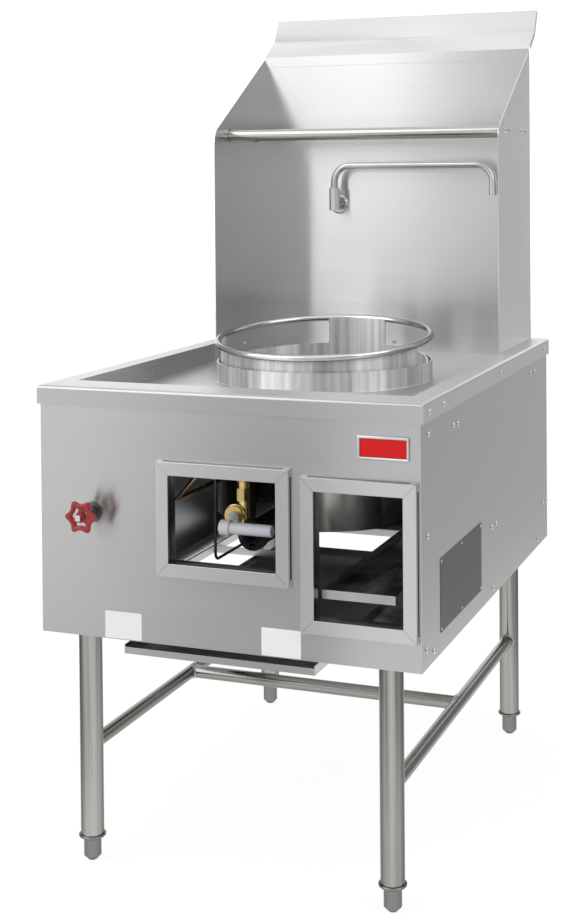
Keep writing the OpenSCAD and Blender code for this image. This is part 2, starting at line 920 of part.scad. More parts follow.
module gas_manifold() {
    y_run = yy(gas_y);
    cap_x = 2 * valve_r;
    color("dimgray") {
        pipe_x([gas_x + pipe_bend, cap_x], y_run, gas_h, gas_r, pipe_t);
        rod_x([cap_x, cap_x + pipe_t], y_run, gas_h, gas_r);
        elbow_xy([gas_x + pipe_bend, y_run + pipe_bend, gas_h], 180, pipe_bend, gas_r, pipe_t);
        pipe_y(gas_x, [y_run + pipe_bend, y_rear], gas_h, gas_r, pipe_t);
        inlet_end(gas_x, gas_h, gas_r);
    }
}

module pilot_valve() {
    top = gas_h - gas_r;
    body = 3 * valve_r;
    color("goldenrod")
        translate([pilot_x, yy(gas_y), 0]) {
            along_z(top - body, top - body / 2)
                circle(valve_r - 1, $fn = 6);
            difference() {
                rod_z(0, 0, [top - body / 2, gas_h], valve_r / 2);
                rod_x([-valve_r, valve_r], 0, gas_h, gas_r);
            }
            rod_x([-2 * valve_r, 0], 0, top - 0.75 * body, 1.5 * copper_r);
        }
}

module pilot_line() {
    bend = 5 * pilot_r;
    start = gas_h - gas_r - 3 * valve_r;
    y_valve = yy(gas_y);
    y_end = yy(ring_y) - head_r - bend;
    top = head_h + head_t;
    tip = 2 * pilot_r;
    color("darkgray") {
        rod_z(pilot_x, y_valve, [pilot_low + bend, start], pilot_r);
        elbow_yz([pilot_x, y_valve + bend, pilot_low + bend], 180, bend, pilot_r, pilot_r / 2);
        rod_y(pilot_x, [y_valve + bend, y_end - bend], pilot_low, pilot_r);
        elbow_yz([pilot_x, y_end - bend, pilot_low + bend], 270, bend, pilot_r, pilot_r / 2);
        rod_z(pilot_x, y_end, [pilot_low + bend, top], pilot_r);
        rod_z(pilot_x, y_end, [top, top + 4 * tip], tip);
    }
}

module copper_tube() {
    y_valve = yy(gas_y);
    port = [pilot_x - 2 * valve_r, y_valve, gas_h - gas_r - 2.25 * valve_r];
    knee = [copper_x, y_valve, copper_h];
    start = port + 2 * copper_r * [-1, 0, 0];
    drop = knee - start;
    color("peru") {
        rod_x([start[0], port[0]], y_valve, port[2], copper_r);
        translate(start)
            sphere(1.15 * copper_r);
        translate(start)
            rotate([0, atan2(drop[0], drop[2]), 0])
                cylinder(h = norm(drop), r = copper_r);
        translate(knee)
            sphere(1.15 * copper_r);
        rod_y(copper_x, [y_valve, yy(ring_y) - sqrt(collar_in ^ 2 - copper_x ^ 2)], copper_h, copper_r);
    }
}

// Water valve behind the front panel and its pipes
module water_valve() {
    y_body = y_panel + 2 * flange_d;
    nose = y_panel - wheel_out / 3;
    color("goldenrod")
        difference() {
            union() {
                rod_z(wheel_x, y_body, [wheel_h - flange_d, outlet_h - pipe_bend], water_r + pipe_t);
                rod_y(wheel_x, [nose, y_body], wheel_h, 3 * stem_r);
                rod_y(wheel_x, [y_panel - sheet_t, y_panel], wheel_h, 4.5 * stem_r);
                rod_y(wheel_x, [y_panel + sheet_t, y_panel + 3 * sheet_t], wheel_h, 4.5 * stem_r);
            }
            rod_y(wheel_x, [nose - 1, y_body], wheel_h, stem_r + run_gap);
            rod_z(wheel_x, y_body, [wheel_h - far, wheel_h - 3 * stem_r], water_r - pipe_t);
            rod_z(wheel_x, y_body, [wheel_h + 3 * stem_r, wheel_h + far], water_r - pipe_t);
        }
}

module valve_stem() {
    y_end = y_panel - wheel_out + wheel_t / 2;
    color("darkgray")
        rod_y(wheel_x, [y_end, y_panel + 2 * flange_d - clear_gap], wheel_h, stem_r);
}

module hand_wheel() {
    y_mid = y_panel - wheel_out;
    color("firebrick")
        translate([wheel_x, 0, wheel_h])
            along_y(y_mid - wheel_t / 2, y_mid + wheel_t / 2) {
                ring_2d(wheel_rim_r, wheel_rim_w);
                circle(hub_r);
                for (i = [0:wheel_lobes - 1])
                    rotate(i * 360 / wheel_lobes) {
                        translate([hub_r - 1, -spoke_w / 2])
                            square([wheel_rim_r - hub_r - wheel_rim_w / 2, spoke_w]);
                        translate([wheel_rim_r - wheel_rim_w / 2, 0])
                            circle(lobe_r);
                    }
            }
}

module wheel_nut() {
    y_face = y_panel - wheel_out - wheel_t / 2;
    color("gold")
        translate([wheel_x, 0, wheel_h])
            along_y(y_face - nut_t, y_face)
                square(nut_w, center = true);
}

module water_inlet() {
    y_body = y_panel + 2 * flange_d;
    color("lightgray") {
        pipe_z(wheel_x, y_body, [inlet_h + pipe_bend, wheel_h - flange_d], water_r, pipe_t);
        elbow_yz([wheel_x, y_body + pipe_bend, inlet_h + pipe_bend], 180, pipe_bend, water_r, pipe_t);
        pipe_y(wheel_x, [y_body + pipe_bend, y_rear], inlet_h, water_r, pipe_t);
        inlet_end(wheel_x, inlet_h, water_r);
    }
}

module water_riser() {
    y_body = y_panel + 2 * flange_d;
    y_up = y_rear + riser_out;
    y_turn = y_up - pipe_bend;
    color("lightgray") {
        elbow_yz([wheel_x, y_body + pipe_bend, outlet_h - pipe_bend], 90, pipe_bend, water_r, pipe_t);
        pipe_y(wheel_x, [y_body + pipe_bend, y_turn], outlet_h, water_r, pipe_t);
        elbow_yz([wheel_x, y_turn, outlet_h + pipe_bend], 270, pipe_bend, water_r, pipe_t);
        pipe_z(wheel_x, y_up, [outlet_h + pipe_bend, flange_h - pipe_bend], water_r, pipe_t);
        elbow_xz([wheel_x + pipe_bend, y_up, flange_h - pipe_bend], 90, pipe_bend, water_r, pipe_t);
        pipe_x([wheel_x + pipe_bend, faucet_x + 1.5 * water_r], y_up, flange_h, water_r, pipe_t);
        rod_x([faucet_x + 1.5 * water_r, faucet_x + 1.5 * water_r + pipe_t], y_up, flange_h, water_r);
        rod_y(faucet_x, [y_wall + 3 * sheet_t, y_up], flange_h, water_r);
    }
}

// Panels
module window_cut(x, w, z, h) {
    span([x, x + w], [y_panel - 1, y_panel + far], [z, z + h]);
}

module window_fold(x, w, z, h) {
    span([x - sheet_t, x + w + sheet_t], [y_panel, y_panel + win_fold], [z - sheet_t, z + h + sheet_t]);
}

module front_panel() {
    top = rim_h - sheet_t - trim_out_front;
    fold_x = panel_x - sheet_t;
    color("lightgray")
        difference() {
            union() {
                span([-panel_x, panel_x], [y_panel, y_panel + sheet_t], [base_h, top]);
                span([-fold_x, fold_x], [y_panel, y_panel + flange_d], [base_h, base_h + sheet_t]);
                span([-fold_x, fold_x], [y_panel, y_panel + flange_d], [top - sheet_t, top]);
                both_sides()
                    span([fold_x - sheet_t, fold_x], [y_panel, y_panel + 2 * flange_d],
                        [base_h, top - trim_h]);
                window_fold(lwin_x, lwin_w, lwin_z, lwin_h);
                window_fold(rwin_x, rwin_w, rwin_z, rwin_h);
            }
            window_cut(lwin_x, lwin_w, lwin_z, lwin_h);
            window_cut(rwin_x, rwin_w, rwin_z, rwin_h);
            rod_y(wheel_x, [y_panel - 1, y_panel + flange_d], wheel_h, 3 * stem_r);
        }
}

module side_panel() {
    top = rim_h - edge_r;
    y0 = y_panel + sheet_t;
    inner = panel_x - sheet_t;
    span([inner, panel_x], [y0, y_rear], [base_h, top]);
    span([inner - flange_d, inner], [y0 + 2 * flange_d, y_rear - 2 * sheet_t], [base_h, base_h + sheet_t]);
    span([inner - flange_d, inner], [y_rear - 2 * sheet_t, y_rear - sheet_t], [base_h, pan_under]);
}

module left_panel() {
    color("lightgray")
        mirror([1, 0, 0])
            side_panel();
}

module right_panel() {
    color("lightgray")
        side_panel();
}

module rear_panel() {
    inner = panel_x - sheet_t;
    vents = 6;
    vent_w = 180;
    vent_h = 12;
    vent_pitch = 30;
    color("darkgray")
        difference() {
            span([-inner, inner], [y_rear - sheet_t, y_rear], [base_h, pan_under]);
            rod_y(gas_x, [y_rear - flange_d, y_rear + 1], gas_h, gas_r);
            rod_y(wheel_x, [y_rear - flange_d, y_rear + 1], inlet_h, water_r);
            rod_y(wheel_x, [y_rear - riser_out / 2, y_rear + 1], outlet_h, water_r + pipe_t);
            for (i = [0:vents - 1])
                span([leg_x - vent_w, leg_x], [y_rear - flange_d, y_rear + 1],
                    [inlet_h + i * vent_pitch, inlet_h + i * vent_pitch + vent_h]);
        }
}

module strip(x, y) {
    span(x, y, [frame_h, frame_h + sheet_t]);
}

module bottom_frame() {
    outer = panel_x - 2 * sheet_t;
    inner = outer - side_strip;
    bay = inner - tray_floor;
    y0 = y_panel + sheet_t;
    y1 = y_rear - 2 * sheet_t;
    y_mid = yy(mid_strip_y);
    y_lip = yy(rear_strip_y) + sheet_t;
    lip_z = [frame_h, frame_h + strip_lip];
    color("darkgray") {
        strip([-outer, outer], [y0, y0 + front_strip]);
        strip([-outer, outer], [yy(rear_strip_y), y1]);
        strip([-inner - 1, inner + 1], [y_mid, y_mid + mid_strip]);
        strip([bay, inner + 1], [y0 + front_strip - 1, y_mid + 1]);
        both_sides()
            strip([inner, outer], [y0, y1]);
        span([-inner - sheet_t, -inner], [y0 + front_strip, y_lip], lip_z);
        span([bay, bay + sheet_t], [y0 + front_strip, y_mid + sheet_t], lip_z);
        span([inner, inner + sheet_t], [y_mid + mid_strip, y_lip], lip_z);
        span([-inner - 1, inner + 1], [yy(rear_strip_y), y_lip], lip_z);
        span([-inner - 1, bay + sheet_t], [y_mid, y_mid + sheet_t], lip_z);
    }
}

// Mitred window frames on corner clips
module frame_bar(length, wide) {
    linear_extrude(frame_t)
        polygon([[0, 0], [length, 0], [length - wide, wide], [wide, wide]]);
}

module window_frame(x, w, z, h) {
    x0 = x - frame_w;
    z0 = z - frame_w;
    wide = w + 2 * frame_w;
    high = h + 2 * frame_w;
    y_face = y_panel - frame_gap;
    translate([x0, y_face, z0])
        rotate([90, 0, 0]) {
            frame_bar(wide, frame_w);
            translate([wide, 0, 0])
                rotate([0, 0, 90])
                    frame_bar(high, frame_w);
            translate([wide, high, 0])
                rotate([0, 0, 180])
                    frame_bar(wide, frame_w);
            translate([0, high, 0])
                rotate([0, 0, 270])
                    frame_bar(high, frame_w);
        }
    for (cx = [x0 - sheet_t, x0 + wide - clip_s + sheet_t])
        for (cz = [z0 - sheet_t, z0 + high - clip_s + sheet_t])
            span([cx, cx + clip_s], [y_face, y_panel], [cz, cz + clip_s]);
}

module left_frame() {
    color("silver")
        window_frame(lwin_x, lwin_w, lwin_z, lwin_h);
}

module right_frame() {
    color("silver")
        window_frame(rwin_x, rwin_w, rwin_z, rwin_h);
}

// Pull-out trays
module grease_tray() {
    y0 = yy(grease_y);
    color("dimgray")
        difference() {
            span([grease_x, grease_x + grease_w], [y0, y0 + grease_len], [grease_h, grease_h + grease_side]);
            span([grease_x + sheet_t, grease_x + grease_w - sheet_t],
                [y0 + sheet_t, y0 + grease_len - sheet_t], [grease_h + sheet_t, grease_h + far]);
        }
}

module tray_bracket(d) {
    inner = panel_x - sheet_t;
    top = grease_h - clear_gap;
    guide_x0 = grease_x - clear_gap;
    guide_x1 = grease_x + grease_w + clear_gap;
    y = [yy(d), yy(d) + brk_w];
    span([guide_x0 - brk_t, inner], y, [top - brk_t, top]);
    span([inner - brk_t, inner], y, [top - brk_drop, top]);
    span([guide_x0 - brk_t, guide_x0], y, [top - brk_t, top + 2 * brk_t]);
    span([guide_x1, guide_x1 + brk_t], y, [top - brk_t, top + 2 * brk_t]);
}

module tray_brackets() {
    color("darkgray") {
        tray_bracket(brk_y1);
        tray_bracket(brk_y2);
    }
}

module drip_tray() {
    y0 = y_front - drip_out;
    x1 = drip_x + drip_w;
    top = drip_h + drip_side;
    y_flange = y_panel + 2 * flange_d;
    color("silver")
        difference() {
            union() {
                span([drip_x, x1], [y0, y0 + drip_len], [drip_h, top]);
                span([drip_x - drip_flange, x1 + drip_flange], [y_flange, y0 + drip_len],
                    [top - sheet_t, top]);
            }
            span([drip_x + sheet_t, x1 - sheet_t], [y0 + sheet_t, y0 + drip_len - sheet_t],
                [drip_h + sheet_t, top + 1]);
            span([drip_x + sheet_t, x1 - sheet_t], [y0 - 1, y0 + sheet_t + 1], [drip_h + drip_lip, top + 1]);
        }
}

module drip_runners() {
    inner = drip_w / 2 + 2 * clear_gap;
    outer = drip_w / 2 + drip_flange + 1;
    under = drip_h + drip_side - sheet_t - clear_gap;
    y = [y_panel + flange_d + 1, yy(mid_strip_y + mid_strip)];
    color("darkgray")
        translate([drip_x + drip_w / 2, 0, 0])
            both_sides() {
                span([inner, outer + sheet_t], y, [under - sheet_t, under]);
                span([outer, outer + sheet_t], y, [under - sheet_t, frame_h]);
            }
}

// Legs, feet and stretchers
module leg(sx, d) {
    color("silver")
        pipe_z(sx * leg_x, yy(d), [foot_top + clear_gap, base_h], leg_r, leg_t);
}

module leg_front_left() {
    leg(-1, leg_front);
}

module leg_front_right() {
    leg(1, leg_front);
}

module leg_rear_left() {
    leg(-1, leg_rear);
}

module leg_rear_right() {
    leg(1, leg_rear);
}

module leg_sockets() {
    front = y_panel + flange_d + 1 - yy(leg_front);
    color("darkgray")
        at_legs() {
            span([-plate_half, plate_half], [max(front, -plate_half), plate_half], [base_h, frame_h]);
            rod_z(0, 0, [base_h - spigot_len, base_h], leg_r - leg_t);
        }
}

module foot(sx, d) {
    flange_z = foot_top - foot_flange_t;
    soft = foot_flange_t / 4;
    spigot_r = leg_r - leg_t - run_gap;
    spigot_z = foot_top + spigot_len;
    color("darkgray")
        translate([sx * leg_x, yy(d), 0])
            rotate_extrude()
                polygon([[0, 0], [foot_tip_r, 0], [foot_r, foot_chamfer], [foot_r, flange_z],
                    [foot_flange_r - soft, flange_z], [foot_flange_r, flange_z + soft],
                    [foot_flange_r, foot_top - soft], [foot_flange_r - soft, foot_top],
                    [spigot_r, foot_top], [spigot_r, spigot_z], [0, spigot_z]]);
}

module foot_front_left() {
    foot(-1, leg_front);
}

module foot_front_right() {
    foot(1, leg_front);
}

module foot_rear_left() {
    foot(-1, leg_rear);
}

module foot_rear_right() {
    foot(1, leg_rear);
}

module stretchers() {
    color("silver")
        both_sides()
            difference() {
                pipe_y(leg_x, [yy(leg_front), yy(leg_rear)], stretch_h, stretch_r, leg_t);
                rod_z(leg_x, yy(leg_front), [0, base_h], leg_r);
                rod_z(leg_x, yy(leg_rear), [0, base_h], leg_r);
            }
}

module cross_stretcher() {
    color("silver")
        difference() {
            pipe_x([-leg_x, leg_x], yy(cross_y), stretch_h, stretch_r, leg_t);
            for (sx = [-1, 1])
                rod_y(sx * leg_x, [yy(leg_front), yy(leg_rear)], stretch_h, stretch_r);
        }
}

// Splash back
module splash_back() {
    color("lightgray")
        difference() {
            span([-wall_x, wall_x], [y_wall, y_wall + sheet_t], [pan_h, cap_h + cap_lip - sheet_t]);
            rod_y(faucet_x, [y_wall - 1, y_wall + flange_d], flange_h, water_r);
        }
}

module splash_side_2d() {
    rise = splash_top_h - splash_front_h;
    run = y_wall + sheet_t - yy(splash_y);
    slope = atan2(rise, run);
    cut = corner_r * tan((90 - slope) / 2);
    p0 = [yy(splash_y), splash_front_h];
    centre = [p0[0] + corner_r, splash_front_h - cut];
    tangent = p0 + cut * [cos(slope), sin(slope)];
    difference() {
        polygon([[p0[0], pan_h], [y_wall + sheet_t, pan_h], [y_wall + sheet_t, splash_top_h], p0]);
        difference() {
            polygon([p0, [p0[0] - 1, centre[1]], [p0[0], centre[1]], centre, tangent,
                tangent + [-1, 1]]);
            translate(centre)
                circle(corner_r, $fn = 64);
        }
    }
}

module splash_sides() {
    color("lightgray")
        both_sides()
            difference() {
                along_x(wall_x, pan_x)
                    splash_side_2d();
                for (d = [rail_y, rail_y + rail_gap])
                    rod_x([wall_x - 1, pan_x + 1], yy(d), rail_h, bolt_r);
            }
}

module splash_cap() {
    y0 = y_front + cap_y;
    foot = [y0, cap_h];
    lip = [y0, cap_h + cap_lip];
    knee = lip + [cap_run1, cap_rise1];
    tip = knee + [cap_run2, cap_rise2];
    color("gainsboro") {
        along_x(-wall_x, wall_x)
            polygon(sheet_path([foot, lip, knee, tip], -sheet_t));
        both_sides()
            along_x(wall_x - sheet_t, wall_x)
                polygon(sheet_path([lip + [cap_run1, cap_rise1] / 4, knee, tip], -cap_return));
    }
}

module rail(d) {
    pipe_x([-wall_x, wall_x], yy(d), rail_h, rail_r, rail_t);
    both_sides()
        pipe_x([wall_x - rail_collar, wall_x], yy(d), rail_h, rail_collar_r, rail_collar_r - rail_r);
}

module rails() {
    color("silver") {
        rail(rail_y);
        rail(rail_y + rail_gap);
    }
}

module rail_bolts() {
    washer = 2.4 * bolt_r;
    cap = 1.8 * bolt_r;
    shank = 5 * bolt_r;
    color("silver")
        both_sides()
            for (d = [rail_y, rail_y + rail_gap])
                translate([pan_x, yy(d), rail_h])
                    rotate([0, 90, 0])
                        rotate_extrude()
                            polygon([[0, -shank], [bolt_r, -shank], [bolt_r, 0], [washer, 0],
                                [washer, sheet_t], [cap, sheet_t], [cap, cap - 1], [cap / 2, cap + 1],
                                [0, cap + 1]]);
}

// Faucet
module faucet_flange() {
    soft = flange_t / 3;
    neck = water_r - 2 * soft;
    color("silver")
        translate([faucet_x, y_wall + 3 * sheet_t, flange_h])
            rotate([90, 0, 0])
                rotate_extrude()
                    polygon([[0, 0], [water_r, 0], [water_r, 3 * sheet_t], [flange_r, 3 * sheet_t],
                        [flange_r, 3 * sheet_t + soft], [flange_r - 2 * soft, 3 * sheet_t + flange_t],
                        [neck, 3 * sheet_t + flange_t],
                        [neck, 3 * sheet_t + swivel_out - swivel_r], [0, 3 * sheet_t + swivel_out - swivel_r]]);
}

module swivel_body() {
    top = swivel_h + swivel_len;
    corner = swivel_r / cos(180 / 8);
    color("silver")
        translate([faucet_x, y_swivel, 0])
            difference() {
                rotate([0, 0, 180 / 8])
                    along_z(swivel_h, top)
                        circle(corner, $fn = 8);
                translate([0, 0, top - spout_seat])
                    cylinder(h = spout_seat + 1, r = spout_r + run_gap);
            }
}

module at_spout() {
    translate([faucet_x, y_swivel, 0])
        rotate([0, 0, -spout_turn])
            children();
}

module spout() {
    foot = swivel_h + swivel_len - spout_seat + clear_gap;
    low = spout_h - spout_bend;
    color("silver")
        at_spout() {
            pipe_z(0, 0, [foot, low], spout_r, spout_t);
            elbow_xz([spout_bend, 0, low], 90, spout_bend, spout_r, spout_t);
            pipe_x([spout_bend, spout_reach - spout_bend], 0, spout_h, spout_r, spout_t);
            elbow_xz([spout_reach - spout_bend, 0, low], 0, spout_bend, spout_r, spout_t);
            pipe_z(spout_reach, 0, [nozzle_h + nozzle_len, low], spout_r, spout_t);
        }
}

module spout_nozzle() {
    color("silver")
        at_spout()
            pipe_z(spout_reach, 0, [nozzle_h, nozzle_h + nozzle_len], nozzle_r, 2 * spout_t);
}

// Small trim
module badge_frame() {
    color("silver")
        translate([badge_x, 0, badge_z])
            along_y(y_panel - badge_t, y_panel)
                difference() {
                    square([badge_w, badge_h]);
                    translate([badge_rim, badge_rim])
                        square([badge_w - 2 * badge_rim, badge_h - 2 * badge_rim]);
                }
}

module badge_plate() {
    color("crimson")
        span([badge_x + badge_rim, badge_x + badge_w - badge_rim], [y_panel - badge_t / 2, y_panel],
            [badge_z + badge_rim, badge_z + badge_h - badge_rim]);
}

module labels() {
    label_z = base_h + sheet_t;
    color("whitesmoke") {
        for (x = [label_x1, label_x2])
            span([x, x + label_w], [y_panel - label_t, y_panel], [label_z, label_z + label_h]);
        for (d = [plate_y, plate_y + plate_len + label_t])
            span([panel_x, panel_x + label_t], [yy(d), yy(d) + plate_len], [plate_z, plate_z + plate_h]);
    }
}

module head(r) {
    rotate([0, 90, 0])
        rotate_extrude($fn = 16)
            polygon([[0, 0], [r, 0], [r, screw_t / 3], [r / 2, screw_t], [0, screw_t]]);
}

module screws() {
    deck_z = rim_h - screw_drop;
    // Places along the depth and up the cabinet, as shares of both
    deck_pos = [0.0378, 0.1261, 0.5441, 0.9580];
    side_pos = [[0.0504, 0.8704], [0.208, 0.8475], [0.2363, 0.8429], [0.8361, 0.875],
        [0.8761, 0.8704], [0.042, 0.4903], [0.4853, 0.3022], [0.5189, 0.3022], [0.958, 0.1898],
        [0.9884, 0.1852], [0.0326, 0.07], [0.0767, 0.0378], [0.4926, 0.032], [0.9002, 0.0355]];
    pan_pos = 0.8571;
    rivet_d = [plate_y + rivet_in, plate_y + plate_len, plate_y + 2 * plate_len - rivet_in];
    color("silver") {
        both_sides() {
            for (p = deck_pos)
                translate([half_w, yy(p * cab_d), deck_z])
                    head(screw_r);
            for (p = side_pos)
                translate([panel_x, yy(p[0] * cab_d), base_h + p[1] * cab_h])
                    head(screw_r);
        }
        for (d = rivet_d)
            for (z = [plate_z + rivet_in, plate_z + plate_h - rivet_in])
                translate([panel_x + label_t, yy(d), z])
                    head(rivet_r);
        both_sides()
            translate([wall_x, yy(pan_pos * cab_d), deck_z])
                mirror([1, 0, 0])
                    head(screw_r);
        translate([0, y_wall, deck_z])
            rotate([0, 0, -90])
                head(screw_r);
    }
}

deck_top();
wok_collar();
wok_band();
wok_tube();
chamber_shell();
chamber_lining();
burner_head();
burner_jets();
mixer_tube();
burner_bar();
air_shutter();
orifice_elbow();
gas_valve();
valve_lever();
lever_grip();
gas_manifold();
pilot_valve();
pilot_line();
copper_tube();
water_valve();
valve_stem();
hand_wheel();
wheel_nut();
water_inlet();
water_riser();
front_panel();
left_panel();
right_panel();
rear_panel();
bottom_frame();
left_frame();
right_frame();
grease_tray();
tray_brackets();
drip_tray();
drip_runners();
leg_front_left();
leg_front_right();
leg_rear_left();
leg_rear_right();
leg_sockets();
foot_front_left();
foot_front_right();
foot_rear_left();
foot_rear_right();
stretchers();
cross_stretcher();
splash_back();
splash_sides();
splash_cap();
rails();
rail_bolts();
faucet_flange();
swivel_body();
spout();
spout_nozzle();
badge_frame();
badge_plate();
labels();
screws();
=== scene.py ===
"""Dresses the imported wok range: finishes, small formed pieces, studio and camera."""

import json
import logging
import math
from dataclasses import dataclass
from enum import Enum
from functools import cache

import bpy
import numpy as np
from mathutils import Matrix, Vector


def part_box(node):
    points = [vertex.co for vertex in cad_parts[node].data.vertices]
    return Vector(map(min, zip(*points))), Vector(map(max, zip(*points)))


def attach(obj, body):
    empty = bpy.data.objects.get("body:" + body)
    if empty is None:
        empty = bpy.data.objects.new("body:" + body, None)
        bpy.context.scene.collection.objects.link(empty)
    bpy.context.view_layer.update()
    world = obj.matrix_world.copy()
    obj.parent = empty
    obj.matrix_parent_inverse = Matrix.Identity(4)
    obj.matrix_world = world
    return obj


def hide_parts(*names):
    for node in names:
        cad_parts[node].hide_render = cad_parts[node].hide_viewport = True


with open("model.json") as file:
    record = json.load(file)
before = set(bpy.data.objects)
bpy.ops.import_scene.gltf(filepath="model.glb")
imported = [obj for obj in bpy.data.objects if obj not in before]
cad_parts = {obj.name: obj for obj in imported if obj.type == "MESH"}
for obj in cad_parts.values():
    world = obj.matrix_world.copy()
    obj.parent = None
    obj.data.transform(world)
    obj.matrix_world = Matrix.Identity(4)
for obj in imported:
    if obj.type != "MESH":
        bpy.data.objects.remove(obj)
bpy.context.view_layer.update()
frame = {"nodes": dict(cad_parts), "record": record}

LOG = logging.getLogger("wok_range")
Colour = tuple[float, float, float]
Point = tuple[float, float, float]
Part = tuple[np.ndarray, list]
Socket = bpy.types.NodeSocket

MM = 0.001
FRONT_TRIM_Y = -496.075 * MM
PANEL_Y = FRONT_TRIM_Y + 3.0 * MM
SIDE_X = 0.350
PLATE_THICK = 0.0005
FRONTWARD = (0.0, -1.0, 0.0)
UPWARD = (0.0, 0.0, 1.0)
ACROSS_X, ACROSS_Y = 0, 1
CRISP = 10.0
STEEL_TINT = (0.985, 1.0, 0.99)
WARM_TINT = (1.0, 0.995, 0.93)
# Tint of the film on the tops: dirt, and painted shade on some finishes.
DUST_TINT = (1.0, 0.97, 0.92)
IMAGE_W = 586
IMAGE_H = 923


def back_from_trim(distance: float) -> float:
    """Y in metres of a point that lies a distance in mm behind the front trim."""
    return FRONT_TRIM_Y + distance * MM


def shade(colour: Colour, share: float) -> Colour:
    """A colour times a share."""
    return tuple(share * v for v in colour)


# Meshes


def around(steps: int) -> np.ndarray:
    """Angles of one full turn in even steps."""
    return np.linspace(0.0, 2.0 * np.pi, steps, endpoint=False)


def quarter(steps: int) -> np.ndarray:
    """Angles of a quarter turn, both ends included."""
    return np.linspace(0.0, 0.5 * np.pi, steps)


def tube_part(rings: np.ndarray, closed: bool = False) -> Part:
    """A skin over rings of points, with a flat cap on both ends unless the row of rings is closed.

    Quad (i, j) joins points j and j + 1 of ring i to the same points of ring i + 1.

    Args:
        rings: Points, shaped (rings, points, 3).
        closed: Joins the last ring to the first.

    Returns:
        Points and faces.
    """
    rows, cols = rings.shape[:2]
    i = np.arange(rows if closed else rows - 1)[:, None]
    j = np.arange(cols)[None, :]
    i2, j2 = (i + 1) % rows, (j + 1) % cols
    quads = np.stack([i * cols + j, i * cols + j2, i2 * cols + j2, i2 * cols + j], axis=-1)
    faces = quads.reshape(-1, 4).tolist()
    if not closed:
        faces.append(list(range(cols))[::-1])
        faces.append(list(range((rows - 1) * cols, rows * cols)))
    return rings.reshape(-1, 3), faces


def join_parts(parts: list[Part]) -> Part:
    """Stacks several parts into one list of points and faces.

    Args:
        parts: Points and faces of each part.

    Returns:
        Points and faces.
    """
    points: list[np.ndarray] = []
    faces: list = []
    start = 0
    for verts, quads in parts:
        points.append(verts)
        faces.extend([[k + start for k in face] for face in quads])
        start += len(verts)
    return np.concatenate(points), faces


def oriented(axis: Point) -> np.ndarray:
    """Three unit rows: two directions across an axis, then the axis itself.

    Args:
        axis: Direction of the axis.

    Returns:
        The rows, shaped (3, 3).
    """
    w = np.array(axis, float) / np.linalg.norm(axis)
    helper = np.array([0.0, 0.0, 1.0]) if abs(w[2]) < 0.9 else np.array([1.0, 0.0, 0.0])
    u = np.cross(helper, w)
    u /= np.linalg.norm(u)
    return np.stack([u, np.cross(w, u), w])


def revolve_part(
    profile: np.ndarray, origin: Point, axis: Point, steps: int = 40, closed: bool = False
) -> Part:
    """A profile of (radius, height) turned about an axis: (r cos t, r sin t, h) in the axis's frame.

    Args:
        profile: Points from the foot to the top, shaped (n, 2).
        origin: Foot of the axis.
        axis: Direction of the height.
        steps: Points round the axis.
        closed: Joins the profile's end to its start, for a ring.

    Returns:
        Points and faces.
    """
    t = around(steps)
    r, h = profile[:, :1], profile[:, 1:]
    local = np.stack([r * np.cos(t), r * np.sin(t), h + 0.0 * t], axis=-1)
    return tube_part(local @ oriented(axis) + np.array(origin), closed)


def rounded_rect(half_w: float, half_h: float, radius: float, steps: int = 5) -> np.ndarray:
    """Outline of a rectangle with quarter-circle corners, anticlockwise.

    Args:
        half_w: Half the width.
        half_h: Half the height.
        radius: Corner radius.
        steps: Points on each corner.

    Returns:
        Points, shaped (4 steps, 2).
    """
    q = quarter(steps)
    arc = radius * np.stack([np.cos(q), np.sin(q)], axis=-1)
    rot = np.array([[0.0, 1.0], [-1.0, 0.0]])
    corners = [(1, 1), (-1, 1), (-1, -1), (1, -1)]
    sides = [arc @ np.linalg.matrix_power(rot, k) for k in range(4)]
    moved = [
        side + np.array([cx * (half_w - radius), cy * (half_h - radius)])
        for side, (cx, cy) in zip(sides, corners)
    ]
    return np.concatenate(moved)


def soft_plate(low: Point, high: Point, normal_axis: int, corner: float, edge: float) -> Part:
    """A plate with rounded corners and a quarter-round edge all round both faces.

    Ring k is the outline drawn in by edge (1 - sin q) at height edge (1 - cos q), and the upper
    face mirrors the lower one.

    Args:
        low: Lowest corner.
        high: Highest corner.
        normal_axis: Axis across the plate's thickness.
        corner: Corner radius in the plate's plane.
        edge: Radius of the rounded edge.

    Returns:
        Points and faces.
    """
    least = 0.2 * corner
    lo, hi = np.array(low, float), np.array(high, float)
    flat = [k for k in range(3) if k != normal_axis]
    half = 0.5 * (hi - lo)[flat]
    mid = 0.5 * (hi + lo)
    q = quarter(4)
    inset = edge * (1.0 - np.sin(q))
    rise = edge * (1.0 - np.cos(q))
    heights = np.concatenate([lo[normal_axis] + rise, (hi[normal_axis] - rise)[::-1]])
    insets = np.concatenate([inset, inset[::-1]])
    outlines = np.stack([rounded_rect(*(half - d), max(corner - d, least)) for d in insets])
    rings = np.zeros((*outlines.shape[:2], 3))
    rings[:, :, flat] = mid[flat] + outlines
    rings[:, :, normal_axis] = heights[:, None]
    if normal_axis == ACROSS_Y:
        rings = rings[:, ::-1]
    return tube_part(rings)


def carried_part(
    path: np.ndarray, out: np.ndarray, side: np.ndarray, radius: np.ndarray, steps: int = 10
) -> Part:
    """A round section carried along a closed path: path + radius (cos a out + sin a side).

    Args:
        path: Points of the path, shaped (n, 3).
        out: First direction of the section at each point.
        side: Second direction of the section at each point.
        radius: Section radius at each point, shaped (n,).
        steps: Points round the section.

    Returns:
        Points and faces.
    """
    a = around(steps)[None, :, None]
    section = np.cos(a) * out[:, None, :] + np.sin(a) * side[:, None, :]
    rings = path[:, None, :] + radius[:, None, None] * section
    return tube_part(rings, closed=True)


